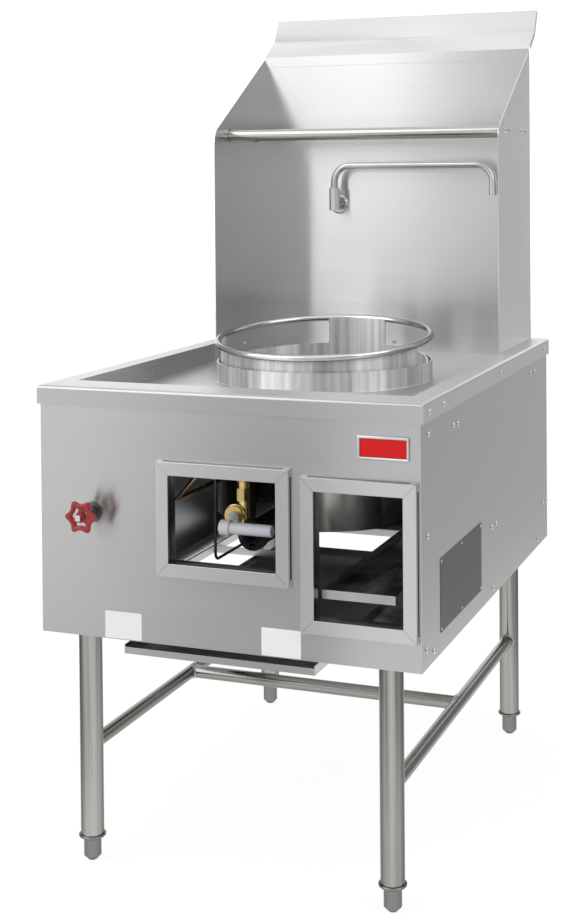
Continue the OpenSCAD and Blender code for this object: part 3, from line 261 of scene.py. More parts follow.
def add_piece(
    name: str,
    part: Part,
    body: str,
    material: bpy.types.Material,
    replaced: tuple[str, ...] = (),
    smooth_angle: float = 35.0,
) -> None:
    """Makes a mesh object of a part, dresses it and lets it ride on a body.

    Args:
        name: Name of the piece.
        part: Points and faces.
        body: CAD body that carries it.
        material: Finish.
        replaced: CAD nodes that it stands for.
        smooth_angle: Edges sharper than this stay sharp, in degrees.
    """
    points, faces = part
    mesh = bpy.data.meshes.new(name)
    mesh.from_pydata(points.tolist(), [], faces)
    mesh.validate()
    mesh.update()
    mesh.materials.append(material)
    obj = bpy.data.objects.new(name, mesh)
    bpy.context.scene.collection.objects.link(obj)
    mesh.polygons.foreach_set("use_smooth", np.ones(len(mesh.polygons), bool))
    mesh.set_sharp_from_angle(angle=math.radians(smooth_angle))
    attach(obj, body)
    if replaced:
        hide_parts(*replaced)
    LOG.info("piece %s: %d points on %s", name, len(points), body)


# Finishes


class Grain(Enum):
    """Directions of brushing, as scales of the Object coordinates."""

    LEVEL = (5.0, 5.0, 420.0)
    DECK = (5.0, 60.0, 420.0)
    UPRIGHT = (260.0, 260.0, 3.0)
    TURNED = (90.0, 90.0, 380.0)
    STREAKED = (75.0, 75.0, 1.5)
    LEG = (110.0, 110.0, 0.8)
    CAST = (160.0, 160.0, 160.0)


class NodeTree:
    """Small hand for placing and joining shader nodes."""

    def __init__(self, tree: bpy.types.NodeTree) -> None:
        """Takes the tree to work in."""
        self.tree = tree

    def add(self, kind: str, **settings: object) -> bpy.types.Node:
        """Adds a node and sets its properties by name.

        Args:
            kind: Blender's name of the node's type.
            settings: Its properties.

        Returns:
            The node.
        """
        node = self.tree.nodes.new(kind)
        for key, value in settings.items():
            setattr(node, key, value)
        return node

    def join(self, start: Socket, end: Socket) -> None:
        """Links an output to an input."""
        self.tree.links.new(start, end)

    def feed(self, value: object, socket: Socket) -> None:
        """Links a socket, or sets a number or colour.

        Args:
            value: Socket, number or colour.
            socket: Input that takes it.
        """
        if isinstance(value, bpy.types.NodeSocket):
            self.join(value, socket)
        elif isinstance(value, tuple) and len(value) == 3 and socket.type == "RGBA":
            socket.default_value = (*value, 1.0)
        else:
            socket.default_value = value

    def math(self, operation: str, *values: object, clamp: bool = False) -> Socket:
        """A Math node on sockets or numbers.

        Args:
            operation: Blender's name of the operation.
            values: Sockets or numbers, in the node's order.
            clamp: Keeps the result between 0 and 1.

        Returns:
            The result's socket.
        """
        node = self.add("ShaderNodeMath", operation=operation, use_clamp=clamp)
        for socket, value in zip(node.inputs, values):
            self.feed(value, socket)
        return node.outputs[0]

    def plus(self, first: object, second: object, clamp: bool = False) -> Socket:
        """Sum of two sockets or numbers."""
        return self.math("ADD", first, second, clamp=clamp)

    def less(self, first: object, second: object) -> Socket:
        """Difference of two sockets or numbers."""
        return self.math("SUBTRACT", first, second)

    def times(self, first: object, second: object) -> Socket:
        """Product of two sockets or numbers."""
        return self.math("MULTIPLY", first, second)

    def mix(self, factor: object, low: object, high: object) -> Socket:
        """A colour mix from low to high.

        Args:
            factor: Share of the high colour.
            low: Colour at 0.
            high: Colour at 1.

        Returns:
            The result's socket.
        """
        node = self.add("ShaderNodeMix", data_type="RGBA")
        for place, value in ((0, factor), (6, low), (7, high)):
            self.feed(value, node.inputs[place])
        return node.outputs[2]

    def spread(
        self, value: Socket, given: tuple[float, float], wanted: tuple[float, float], smooth: bool = False
    ) -> Socket:
        """A Map Range node from one pair of limits to another, clamped.

        Args:
            value: Socket to map.
            given: Limits of the value.
            wanted: Limits of the result.
            smooth: Eases both ends.

        Returns:
            The result's socket.
        """
        kind = "SMOOTHSTEP" if smooth else "LINEAR"
        node = self.add("ShaderNodeMapRange", interpolation_type=kind)
        for socket, number in zip(node.inputs, (value, *given, *wanted)):
            self.feed(number, socket)
        return node.outputs[0]

    def place(self, scale: Point = (1.0, 1.0, 1.0)) -> Socket:
        """Object coordinates, scaled by a Mapping node.

        Args:
            scale: Scale along each axis.

        Returns:
            The coordinates' socket.
        """
        coords = self.add("ShaderNodeTexCoord")
        mapping = self.add("ShaderNodeMapping")
        mapping.inputs["Scale"].default_value = scale
        self.join(coords.outputs["Object"], mapping.inputs["Vector"])
        return mapping.outputs["Vector"]

    def axes(self, vector: Socket) -> bpy.types.bpy_prop_collection:
        """The X, Y and Z sockets of a vector.

        Args:
            vector: Socket of the vector.

        Returns:
            Sockets by the axis's letter.
        """
        node = self.add("ShaderNodeSeparateXYZ")
        self.join(vector, node.inputs[0])
        return node.outputs

    def facing(self) -> bpy.types.bpy_prop_collection:
        """The X, Y and Z sockets of the direction that a face looks in."""
        return self.axes(self.add("ShaderNodeNewGeometry").outputs["Normal"])

    def noise(self, vector: Socket, scale: float, detail: float) -> Socket:
        """A Noise Texture's value.

        Args:
            vector: Socket of the coordinates.
            scale: Scale of the pattern.
            detail: Number of finer layers.

        Returns:
            The value's socket.
        """
        node = self.add("ShaderNodeTexNoise")
        self.join(vector, node.inputs["Vector"])
        node.inputs["Scale"].default_value = scale
        node.inputs["Detail"].default_value = detail
        return node.outputs["Fac"]


class Effects:
    """Shader node groups that several finishes share, each built once."""

    FINE_SHARE = 0.6
    MIDDLE = 0.5

    @staticmethod
    def start(name: str, outputs: tuple[str, ...], value: str) -> tuple:
        """Opens a new group with a vector input, one float input and float outputs.

        Args:
            name: Group's name.
            outputs: Names of the float outputs.
            value: Name of the float input.

        Returns:
            The group, its hand, its coordinates, its float input and its output node.
        """
        group = bpy.data.node_groups.new(name, "ShaderNodeTree")
        group.interface.new_socket("Coords", in_out="INPUT", socket_type="NodeSocketVector")
        group.interface.new_socket(value, in_out="INPUT", socket_type="NodeSocketFloat")
        for label in outputs:
            group.interface.new_socket(label, in_out="OUTPUT", socket_type="NodeSocketFloat")
        hand = NodeTree(group)
        source = hand.add("NodeGroupInput").outputs
        return group, hand, source["Coords"], source[value], hand.add("NodeGroupOutput")

    @staticmethod
    @cache
    def brushed_grain() -> bpy.types.NodeTree:
        """Fine and broad brush lines on coordinates that the material has stretched.

        Returns:
            The group.
        """
        group, hand, coords, contrast, sink = Effects.start("brushed_grain", ("Line", "Height"), "Contrast")
        fine = hand.noise(coords, scale=1.0, detail=3.0)
        broad = hand.noise(coords, scale=0.13, detail=2.0)
        shares = (Effects.FINE_SHARE, 1.0 - Effects.FINE_SHARE)
        both = hand.plus(hand.times(fine, shares[0]), hand.times(broad, shares[1]))
        raised = hand.times(hand.less(both, Effects.MIDDLE), contrast)
        hand.join(hand.plus(raised, Effects.MIDDLE, clamp=True), sink.inputs["Line"])
        hand.join(fine, sink.inputs["Height"])
        return group

    @staticmethod
    @cache
    def handling() -> bpy.types.NodeTree:
        """Clouds of wiping and finger marks.

        Returns:
            The group.
        """
        group, hand, coords, amount, sink = Effects.start("handling", ("Smudge",), "Amount")
        patch = hand.spread(hand.noise(coords, scale=3.5, detail=4.0), (0.42, 0.72), (0.0, 1.0))
        hand.join(hand.times(patch, amount), sink.inputs["Smudge"])
        return group

    @staticmethod
    @cache
    def settled_dust() -> bpy.types.NodeTree:
        """Dust and grime, and on some finishes painted shade, lying where a face looks up and in a broken-up
        pattern.

        Returns:
            The group.
        """
        group, hand, coords, amount, sink = Effects.start("settled_dust", ("Film",), "Amount")
        facing_up = hand.spread(hand.facing()["Z"], (0.2, 0.9), (0.25, 1.0))
        broken = hand.spread(hand.noise(coords, scale=14.0, detail=6.0), (0.3, 0.7), (0.1, 1.0))
        hand.join(hand.times(hand.times(facing_up, broken), amount), sink.inputs["Film"])
        return group


class Surface:
    """A new material with its Principled shader, ready for a finish to wire."""

    def __init__(self, name: str) -> None:
        """Opens the material.

        Args:
            name: Material's name.
        """
        self.material = bpy.data.materials.new(name)
        self.material.use_nodes = True
        tree = self.material.node_tree
        tree.nodes.clear()
        self.hand = NodeTree(tree)
        self.shader = self.hand.add("ShaderNodeBsdfPrincipled")
        sink = self.hand.add("ShaderNodeOutputMaterial")
        self.hand.join(self.shader.outputs["BSDF"], sink.inputs["Surface"])

    def effect(self, group: bpy.types.NodeTree, scale: Point, value: float) -> dict[str, Socket]:
        """Places a shared effect with its own scale and value.

        Args:
            group: Node group of the effect.
            scale: Scale of the Object coordinates that it reads.
            value: Its float input.

        Returns:
            Its outputs by name.
        """
        node = self.hand.add("ShaderNodeGroup", node_tree=group)
        self.hand.join(self.hand.place(scale), node.inputs[0])
        node.inputs[1].default_value = value
        return dict(node.outputs.items())

    def grain(self, scale: Point, contrast: float) -> tuple[Socket, Socket]:
        """Brush lines: their mask and their height."""
        made = self.effect(Effects.brushed_grain(), scale, contrast)
        return made["Line"], made["Height"]

    def marks(self, scale: float, amount: float) -> Socket:
        """Mask of wiping marks."""
        return self.effect(Effects.handling(), (scale, scale, scale), amount)["Smudge"]

    def film(self, amount: float) -> Socket:
        """Mask of the film on the tops: dirt on some finishes, painted shade on others."""
        return self.effect(Effects.settled_dust(), (1.0, 1.0, 1.0), amount)["Film"]

    def roughen(self, mask: Socket, swing: float, least: float) -> None:
        """Roughness that rises from the least value by a mask times a swing."""
        self.set(Roughness=self.hand.plus(self.hand.times(mask, swing), least, clamp=True))

    def bump(self, height: Socket, strength: float, distance: float) -> None:
        """Feeds a height to the shader's normal.

        Args:
            height: Socket of the height.
            strength: Strength of the bump.
            distance: Height of the whole range, in metres.
        """
        node = self.hand.add("ShaderNodeBump")
        node.inputs["Strength"].default_value = strength
        node.inputs["Distance"].default_value = distance
        self.hand.join(height, node.inputs["Height"])
        self.hand.join(node.outputs["Normal"], self.shader.inputs["Normal"])

    def set(self, **values: object) -> None:
        """Sets or links shader sockets; underscores stand for spaces."""
        for key, value in values.items():
            self.hand.feed(value, self.shader.inputs[key.replace("_", " ")])


@dataclass(frozen=True)
class Steel:
    """Stainless sheet or tube with brush lines, wiping marks, a dusty film, and painted shade on some
    finishes.
    """

    LINE_LIFT = 0.7
    LINE_ROUGH, MARK_ROUGH, FILM_ROUGH = 0.12, 0.09, 0.25
    # Painted shade at a tube's silhouette: the facing limits and the tone of the darkening.
    EDGE_FACING, EDGE_TONE = (0.08, 0.65), 0.25
    # Painted shade on faces and bends that look to the front: the facing limits and the tone.
    FRONT_FACING, FRONT_TONE = (-0.55, -0.15), 0.3
    TOP_FACING = (0.5, 0.9)
    QUARTER_TURN = 0.25
    BUMP_STRENGTH, BUMP_DEPTH = 0.015, 0.0004

    name: str
    tone: float
    rough: float
    grain: Grain
    contrast: float = 1.0
    smudge: float = 0.5
    swing: float = 0.12
    smear: float = 0.9
    metallic: float = 1.0
    tint: Colour = STEEL_TINT
    edge: float = 0.0
    bend: float = 0.0
    dull_top: float = 0.0
    dust: float = 0.0
    film_tone: float = 0.55
    film_x: tuple[float, float] | None = None

    def build(self) -> bpy.types.Material:
        """Wires the finish: lines swing the tone, and reflections smear across them.

        Drawn tubes darken by edge where they turn away from the eye, a painted shade that stands in for
        the dark surroundings they mirror at the silhouette. Faces and bends that look to the front get a
        painted shade that stands in for the dark reflection on the trim's front roll. Faces that look up
        are rougher by dull_top. A film lies on the tops, and only where x is past film_x if that is given;
        it is dirt on some finishes and painted shade on others.

        Returns:
            The material.
        """
        s = Surface(self.name)
        hand = s.hand
        line, height = s.grain(self.grain.value, self.contrast)
        dark = shade(self.tint, self.tone * (1.0 - self.swing))
        light = shade(self.tint, min(self.tone * (1.0 + self.LINE_LIFT * self.swing), 1.0))
        colour = hand.mix(line, dark, light)
        rough = hand.plus(hand.times(line, self.LINE_ROUGH), self.rough - 0.5 * self.LINE_ROUGH)
        rough = hand.plus(rough, hand.times(s.marks(1.0, self.smudge), self.MARK_ROUGH))
        # Painted shade: the colour darkens towards a tube's silhouette, for the dark surroundings mirrored
        # there.
        if self.edge:
            turned = hand.add("ShaderNodeLayerWeight")
            turned.inputs["Blend"].default_value = 0.5
            away = hand.spread(turned.outputs["Facing"], self.EDGE_FACING, (0.0, self.edge))
            colour = hand.mix(away, colour, shade(dark, self.EDGE_TONE))
        # Painted shade: faces and bends that look to the front darken, for the dark reflection on the trim's
        # roll.
        if self.bend:
            ahead = hand.spread(hand.facing()["Y"], self.FRONT_FACING, (self.bend, 0.0))
            colour = hand.mix(ahead, colour, shade(dark, self.FRONT_TONE))
        if self.dull_top:
            dulled = hand.spread(hand.facing()["Z"], self.TOP_FACING, (0.0, self.dull_top))
            rough = hand.plus(rough, dulled)
        # The film on the tops: dirt on some finishes, painted shade on the floor sheet, the tray and the
        # deck.
        if self.dust:
            cover = s.film(self.dust)
            if self.film_x:
                past = hand.spread(hand.axes(hand.place())["X"], self.film_x, (0.0, 1.0))
                cover = hand.times(cover, past)
            colour = hand.mix(cover, colour, shade(DUST_TINT, self.film_tone * self.tone))
            rough = hand.plus(rough, hand.times(cover, self.FILM_ROUGH))
        s.set(Base_Color=colour, Roughness=rough, Metallic=self.metallic)
        s.set(Anisotropic=self.smear, Anisotropic_Rotation=self.QUARTER_TURN)
        s.bump(height, self.BUMP_STRENGTH, self.BUMP_DEPTH)
        return s.material


@dataclass(frozen=True)
class Scorched:
    """Burner-chamber steel with pale heat colours, and near-black colour where x is below about 0.01 to 0.06.
    """

    STREAKS, STREAK_TONE, STREAK_ROUGH = 1.8, 0.45, 0.2
    COLD, STRAW = (1.0, 1.0, 0.98), (0.92, 0.86, 0.76)
    HEAT_LIMITS, HEAT_SHARE = (0.45, 0.75), 0.7
    SOOT_SHARE, DUST = 0.9, 0.3
    BUMP_STRENGTH, BUMP_DEPTH = 0.08, 0.0006

    name: str
    tone: float
    rough: float
    soot_x: tuple[float, float] = (0.01, 0.06)
    soot: Colour = (0.03, 0.03, 0.03)
    grime: Colour = (0.08, 0.075, 0.07)

    def build(self) -> bpy.types.Material:
        """Wires the finish: streaks, straw-coloured clouds, near-black colour that ends along x, and a dusty
        film.

        Returns:
            The material.
        """
        s = Surface(self.name)
        hand = s.hand
        line, height = s.grain(Grain.STREAKED.value, self.STREAKS)
        cold, straw = shade(self.COLD, self.tone), shade(self.STRAW, self.tone)
        patches = hand.noise(hand.place((1.0, 1.0, 2.0)), scale=6.0, detail=4.0)
        cloud = hand.spread(patches, self.HEAT_LIMITS, (0.0, self.HEAT_SHARE))
        heated = hand.mix(cloud, hand.mix(line, shade(cold, self.STREAK_TONE), cold), straw)
        # Near-black colour where x is below the limits, fading out across them.
        sooty = hand.spread(hand.axes(hand.place())["X"], self.soot_x, (self.SOOT_SHARE, 0.0))
        tinted = hand.mix(sooty, heated, self.soot)
        s.set(Base_Color=hand.mix(s.film(self.DUST), tinted, self.grime), Metallic=1.0)
        s.roughen(line, self.STREAK_ROUGH, self.rough)
        s.bump(height, self.BUMP_STRENGTH, self.BUMP_DEPTH)
        return s.material


@dataclass(frozen=True)
class Cast:
    """Rough cast or painted metal with a grainy skin and rubbed high spots."""

    CONTRAST, GRAIN_TONE, GRAIN_ROUGH = 1.6, 0.8, 0.22
    MARK_SCALE, MARK_AMOUNT, RUBBED_SHARE = 6.0, 0.8, 0.45
    COAT_ROUGH, BUMP_DEPTH = 0.12, 0.0005

    name: str
    colour: Colour
    rubbed: Colour
    rough: float
    metallic: float = 0.0
    coat: float = 0.0
    scale: float = 1.0
    depth: float = 0.4

    def build(self) -> bpy.types.Material:
        """Wires the finish: the grain darkens and roughens, and marks show the rubbed colour.

        Returns:
            The material.
        """
        s = Surface(self.name)
        hand = s.hand
        line, height = s.grain(shade(Grain.CAST.value, self.scale), self.CONTRAST)
        base = hand.mix(line, shade(self.colour, self.GRAIN_TONE), self.colour)
        rubs = hand.times(s.marks(self.MARK_SCALE, self.MARK_AMOUNT), self.RUBBED_SHARE)
        s.set(Base_Color=hand.mix(rubs, base, self.rubbed))
        s.set(Metallic=self.metallic, Coat_Weight=self.coat, Coat_Roughness=self.COAT_ROUGH)
        s.roughen(line, self.GRAIN_ROUGH, self.rough)
        s.bump(height, self.depth, self.BUMP_DEPTH)
        return s.material


@dataclass(frozen=True)
class Bright:
    """Brass, copper or chrome: a clean metal with tarnish in clouds."""

    CONTRAST, LINE_TONE = 0.8, 0.92
    MARK_SCALE, MARK_ROUGH = 5.0, 0.15
    BUMP_STRENGTH, BUMP_DEPTH = 0.04, 0.0003

    name: str
    colour: Colour
    tarnish: Colour
    rough: float
    amount: float

    def build(self) -> bpy.types.Material:
        """Wires the finish: turned lines, and marks that show the tarnish and roughen.

        Returns:
            The material.
        """
        s = Surface(self.name)
        hand = s.hand
        marks = s.marks(self.MARK_SCALE, self.amount)
        line, height = s.grain(Grain.TURNED.value, self.CONTRAST)
        lined = hand.mix(line, shade(self.colour, self.LINE_TONE), self.colour)
        s.set(Base_Color=hand.mix(marks, lined, self.tarnish), Metallic=1.0)
        s.roughen(marks, self.MARK_ROUGH, self.rough)
        s.bump(height, self.BUMP_STRENGTH, self.BUMP_DEPTH)
        return s.material


@dataclass(frozen=True)
class Film:
    """Plain film or moulded plastic: an even colour with faint mottling."""

    CONTRAST, MOTTLE_TONE = 1.0, 0.95
    MARK_SCALE, MARK_AMOUNT, MARK_ROUGH = 4.0, 0.6, 0.1
    COAT_ROUGH, SPECULAR = 0.08, 0.25
    BUMP_STRENGTH, BUMP_DEPTH = 0.06, 0.0002

    name: str
    colour: Colour
    rough: float
    coat: float = 0.0
    wear: float = 0.1
    worn: Colour = (0.5, 0.5, 0.48)

    def build(self) -> bpy.types.Material:
        """Wires the finish: a fine mottle, and marks that grey and roughen it a little.

        Returns:
            The material.
        """
        s = Surface(self.name)
        hand = s.hand
        marks = s.marks(self.MARK_SCALE, self.MARK_AMOUNT)
        line, height = s.grain(Grain.CAST.value, self.CONTRAST)
        base = hand.mix(line, shade(self.colour, self.MOTTLE_TONE), self.colour)
        s.set(Base_Color=hand.mix(hand.times(marks, self.wear), base, self.worn))
        s.set(Coat_Weight=self.coat, Coat_Roughness=self.COAT_ROUGH, Specular_IOR_Level=self.SPECULAR)
        s.roughen(marks, self.MARK_ROUGH, self.rough)
        s.bump(height, self.BUMP_STRENGTH, self.BUMP_DEPTH)
        return s.material


SHEETS = (
    Steel("panel_steel", 0.51, 0.24, Grain.LEVEL, contrast=0.28, smudge=0.4),
    Steel("hidden_steel", 0.72, 0.22, Grain.LEVEL, contrast=0.8, smudge=0.6, dust=0.05),
    # The deck paints shade on its front-facing bends; its light film on the tops is partly dirt, partly
    # painted shade.
    Steel(
        "deck_steel", 0.65, 0.24, Grain.DECK, contrast=0.5, smear=0.5, bend=0.28, dull_top=0.16, dust=0.02
    ),
    # The collar's finish is a lit copy of the stainless: its high tone, and a metallic below 1 that takes in
    # diffuse light, paint brighter reflections; its strong streaks are partly brush grain, partly painted
    # reflection.
    Steel(
        "collar_steel", 0.92, 0.34, Grain.STREAKED, contrast=3.4, smudge=0.4, swing=0.46, smear=1.0,
        metallic=0.72,
    ),
    Steel("splash_steel", 0.74, 0.20, Grain.LEVEL, contrast=0.4, smudge=0.4, smear=1.0),
    Steel("side_steel", 0.80, 0.17, Grain.LEVEL, contrast=0.4, smudge=0.4, smear=0.8),
    # The floor sheet's near-black film, past x 0.10 to 0.16, is a painted shadow under the grease tray.
    Steel(
        "floor_steel", 0.80, 0.42, Grain.LEVEL, contrast=0.8, smudge=0.6, smear=0.0, dust=0.95,
        film_tone=0.05, film_x=(0.10, 0.16),
    ),
    Steel("frame_steel", 0.60, 0.26, Grain.CAST, contrast=0.3, smudge=0.3),
    # The tray's near-black film on faces that look up is painted shade inside the tray.
    Steel("tray_steel", 0.57, 0.30, Grain.LEVEL, contrast=1.2, smudge=0.7, dust=0.95, film_tone=0.07),
    Scorched("scorched_steel", 0.80, 0.14),
)
# The edge values paint shade towards each tube's silhouette.
TUBES = (
    Steel("ring_steel", 0.90, 0.13, Grain.TURNED, contrast=0.5, smudge=0.4, smear=0.0, edge=0.85),
    Steel(
        "leg_steel", 0.44, 0.17, Grain.LEG, contrast=3.5, smudge=0.4, swing=0.36, tint=WARM_TINT, edge=0.95
    ),
    # The tubes' finish has a low tone that paints the shade the cabinet casts on the stretchers.
    Steel(
        "tube_steel", 0.38, 0.16, Grain.UPRIGHT, contrast=0.5, smudge=0.4, smear=0.0, tint=WARM_TINT,
        edge=0.7,
    ),
    # The rails' finish is a lit copy of the tubes' finish; its higher tone is a painted highlight.
    Steel(
        "rail_steel", 0.62, 0.16, Grain.UPRIGHT, contrast=0.5, smudge=0.4, smear=0.0, tint=WARM_TINT,
        edge=0.4,
    ),
    Steel("foot_steel", 0.26, 0.24, Grain.TURNED, contrast=0.7, smudge=0.6, edge=0.6),
    Steel("galvanised", 0.64, 0.30, Grain.CAST, contrast=1.2, smudge=0.8, dust=0.1),
    Steel("weld_bead", 0.52, 0.34, Grain.CAST, contrast=1.4, smudge=0.8),
)
CASTINGS = (
    Cast("fire_clay", (0.60, 0.55, 0.48), (0.68, 0.63, 0.56), 0.70, scale=0.5, depth=0.6),
    Cast("burner_iron", (0.012, 0.012, 0.013), (0.05, 0.05, 0.05), 0.42, depth=0.5),
    Cast("gas_pipe", (0.02, 0.02, 0.02), (0.08, 0.075, 0.07), 0.46, scale=0.6, depth=0.3),
    Cast("dark_line", (0.06, 0.06, 0.062), (0.2, 0.2, 0.2), 0.34, metallic=0.6),
    Cast("wheel_red", (0.36, 0.006, 0.012), (0.52, 0.05, 0.06), 0.24, coat=0.3, scale=0.5, depth=0.5),
)
FITTINGS = (
    Bright("brass", (0.86, 0.64, 0.26), (0.52, 0.34, 0.12), 0.18, 0.5),
    Bright("copper", (0.84, 0.50, 0.33), (0.46, 0.24, 0.14), 0.22, 0.5),
    Bright("chrome", (0.70, 0.70, 0.69), (0.54, 0.54, 0.53), 0.18, 0.4),
    Film("grip_grey", (0.56, 0.59, 0.62), 0.34, coat=0.2),
    Film("badge_red", (0.70, 0.006, 0.008), 0.40, wear=0.01),
    Film("label_white", (0.90, 0.90, 0.89), 0.50),
    Film("plate_dark", (0.075, 0.078, 0.08), 0.38),
)


class Finishes:
    """All finishes of the range by slot, and the CAD nodes that wear one other than their slot's."""

    special = {
        "splash_sides": "side_steel",
        # The collar and band wear a lit copy of the stainless, painting their brighter reflections.
        "wok_collar": "collar_steel",
        "wok_band": "collar_steel",
        # The rails wear a lit copy of the tubes' finish.
        "rails": "rail_steel",
        # The floor sheet's finish paints the shadow under the grease tray.
        "bottom_frame": "floor_steel",
        "valve_lever": "grip_grey",
        "water_valve": "foot_steel",
        "leg_front_left": "leg_steel",
        "leg_front_right": "leg_steel",
        "leg_rear_left": "leg_steel",
        "leg_rear_right": "leg_steel",
    }

    def __init__(self) -> None:
        """Builds every material once."""
        makers = (*SHEETS, *TUBES, *CASTINGS, *FITTINGS)
        self.by_name = {maker.name: maker.build() for maker in makers}

    def __getitem__(self, name: str) -> bpy.types.Material:
        """The material of that name."""
        return self.by_name[name]

    def dress_frame(self) -> None:
        """Puts each CAD node's own slot finish on it, or the special one for what it looks like."""
        for entry in frame["record"]["subparts"]:
            node = frame["nodes"][entry["node"]]
            finish = self.special.get(entry["node"], entry["material_slot"])
            node.data.materials.clear()
            node.data.materials.append(self.by_name[finish])


# Sub-assemblies


@dataclass
class HandWheel:
    """Red cast wheel of the water valve, with lobes, spokes and a square nut."""

    x: float = -0.247
    z: float = 0.635
    y_mid: float = PANEL_Y - 0.042
    rim_outer: float = 0.0258
    rim_inner: float = 0.0158
    lobe: float = 0.0036
    lobe_blunt: float = 0.18
    lobe_inside: float = 0.25
    squareness: float = 0.75
    half_t: float = 0.0050
    hub: float = 0.0095
    hub_face: float = 0.0085
    hub_eye: float = 0.0005
    lobes: int = 6
    spokes: int = 3
    spoke_half: float = 0.0046
    spoke_swell: float = 0.0026
    spoke_depth: float = 0.0030
    spoke_root: float = 0.7
    spoke_bite: float = 0.0025
    nut_corner: float = 0.0012
    nut_edge: float = 0.0008
    smooth_angle: float = 50.0

    def rim(self) -> Part:
        """Lobed ring of squarish section: outer radius R + a (cos 6t + b cos 12t), inner r + c a cos 6t.

        Returns:
            Points and faces.
        """
        t = around(144)[:, None]
        a = around(20)[None, :]
        wave = np.cos(self.lobes * t)
        outer = self.rim_outer + self.lobe * (wave + self.lobe_blunt * np.cos(2 * self.lobes * t))
        inner = self.rim_inner + self.lobe_inside * self.lobe * wave
        across = np.sign(np.cos(a)) * np.abs(np.cos(a)) ** self.squareness
        along = np.sign(np.sin(a)) * np.abs(np.sin(a)) ** self.squareness
        radius = 0.5 * (outer + inner) + 0.5 * (outer - inner) * across
        y = self.y_mid - self.half_t * along + 0.0 * t
        rings = np.stack([self.x + radius * np.cos(t), y, self.z + radius * np.sin(t)], axis=-1)
        return tube_part(rings[:, ::-1], closed=True)

    def spoke(self, turn: float) -> Part:
        """Spoke of oval section that swells into the rim: half width w + v s^2 along its length s.

        Args:
            turn: Angle of the spoke, in radians.

        Returns:
            Points and faces.
        """
        s = np.linspace(0.0, 1.0, 8)[:, None]
        a = around(14)[None, :]
        root = self.spoke_root * self.hub
        reach = root + s * (self.rim_inner + self.spoke_bite - root) + 0.0 * a
        across = (self.spoke_half + self.spoke_swell * s**2) * np.cos(a)
        y = self.y_mid - self.spoke_depth * np.sin(a) + 0.0 * s
        c, d = math.cos(turn), math.sin(turn)
        x, z = self.x + c * reach - d * across, self.z + d * reach + c * across
        return tube_part(np.stack([x, y, z], axis=-1)[:, ::-1])

    def hub_part(self) -> Part:
        """Turned hub with chamfered faces: (radius, height) points turned about the wheel's axis.

        Returns:
            Points and faces.
        """
        radius = [self.hub_eye, self.hub_face, self.hub, self.hub, self.hub_face, self.hub_eye]
        height = [-1.0, -1.0, -0.6, 0.5, 0.85, 1.0]
        profile = np.stack([radius, self.half_t * np.array(height)], axis=-1)
        return revolve_part(profile, (self.x, self.y_mid, self.z), FRONTWARD, 36)

    def build(self, finishes: Finishes) -> None:
        """Makes the wheel and its nut.

        Args:
            finishes: Materials of the range.
        """
        turns = [math.radians(90.0 + k * 360.0 / self.spokes) for k in range(self.spokes)]
        wheel = join_parts([self.rim(), self.hub_part(), *[self.spoke(turn) for turn in turns]])
        red, zinc = finishes["wheel_red"], finishes["galvanised"]
        body = "water_handwheel"
        add_piece("cast_hand_wheel", wheel, body, red, ("hand_wheel",), self.smooth_angle)
        nut = soft_plate(*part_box("wheel_nut"), ACROSS_Y, self.nut_corner, self.nut_edge)
        add_piece("square_nut", nut, body, zinc, ("wheel_nut",), CRISP)


@dataclass
class WindowFrame:
    """Mitred frame round an opening of the front, standing on corner clips."""

    node: str
    width: float = 0.023
    thick: float = 0.008
    stand_off: float = 0.003
    overhang: float = 0.0015
    seam: float = 0.00025
    edge: float = 0.0008
    clip: float = 0.014
    clip_corner: float = 0.0012
    clip_edge: float = 0.0006

    def bar(self, start: np.ndarray, along: np.ndarray, inward: np.ndarray, length: float) -> Part:
        """Bar of rounded section cut at 45 degrees on both ends: s runs from u to length - u.

        Args:
            start: Outer corner where the bar starts.
            along: Unit direction of the bar.
            inward: Unit direction to the opening.
            length: Length of the outer edge.

        Returns:
            Points and faces.
        """
        section = rounded_rect(0.5 * self.width, 0.5 * self.thick, self.edge, 4)
        u = section[:, 0] + 0.5 * self.width
        v = section[:, 1] + 0.5 * self.thick
        ends = np.stack([u + self.seam, length - u - self.seam])
        across = u[:, None] * inward + v[:, None] * np.array(FRONTWARD)
        return tube_part(start + ends[:, :, None] * along + across)

    def build(self, finishes: Finishes) -> None:
        """Makes the four bars and the clips behind the corners.

        Args:
            finishes: Materials of the range.
        """
        lo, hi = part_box(self.node)
        x0, x1 = lo.x + self.overhang, hi.x - self.overhang
        z0, z1 = lo.z + self.overhang, hi.z - self.overhang
        y = PANEL_Y - self.stand_off
        right, up = np.array([1.0, 0.0, 0.0]), np.array(UPWARD)
        parts = [
            self.bar(np.array([x0, y, z0]), right, up, x1 - x0),
            self.bar(np.array([x1, y, z0]), up, -right, z1 - z0),
            self.bar(np.array([x1, y, z1]), -right, -up, x1 - x0),
            self.bar(np.array([x0, y, z1]), -up, right, z1 - z0),
        ]
        for x in (lo.x, hi.x - self.clip):
            for z in (lo.z, hi.z - self.clip):
                far = (x + self.clip, PANEL_Y, z + self.clip)
                parts.append(soft_plate((x, y, z), far, ACROSS_Y, self.clip_corner, self.clip_edge))
        name, steel = self.node + "_mitred", finishes["frame_steel"]
        add_piece(name, join_parts(parts), "range", steel, (self.node,), CRISP)


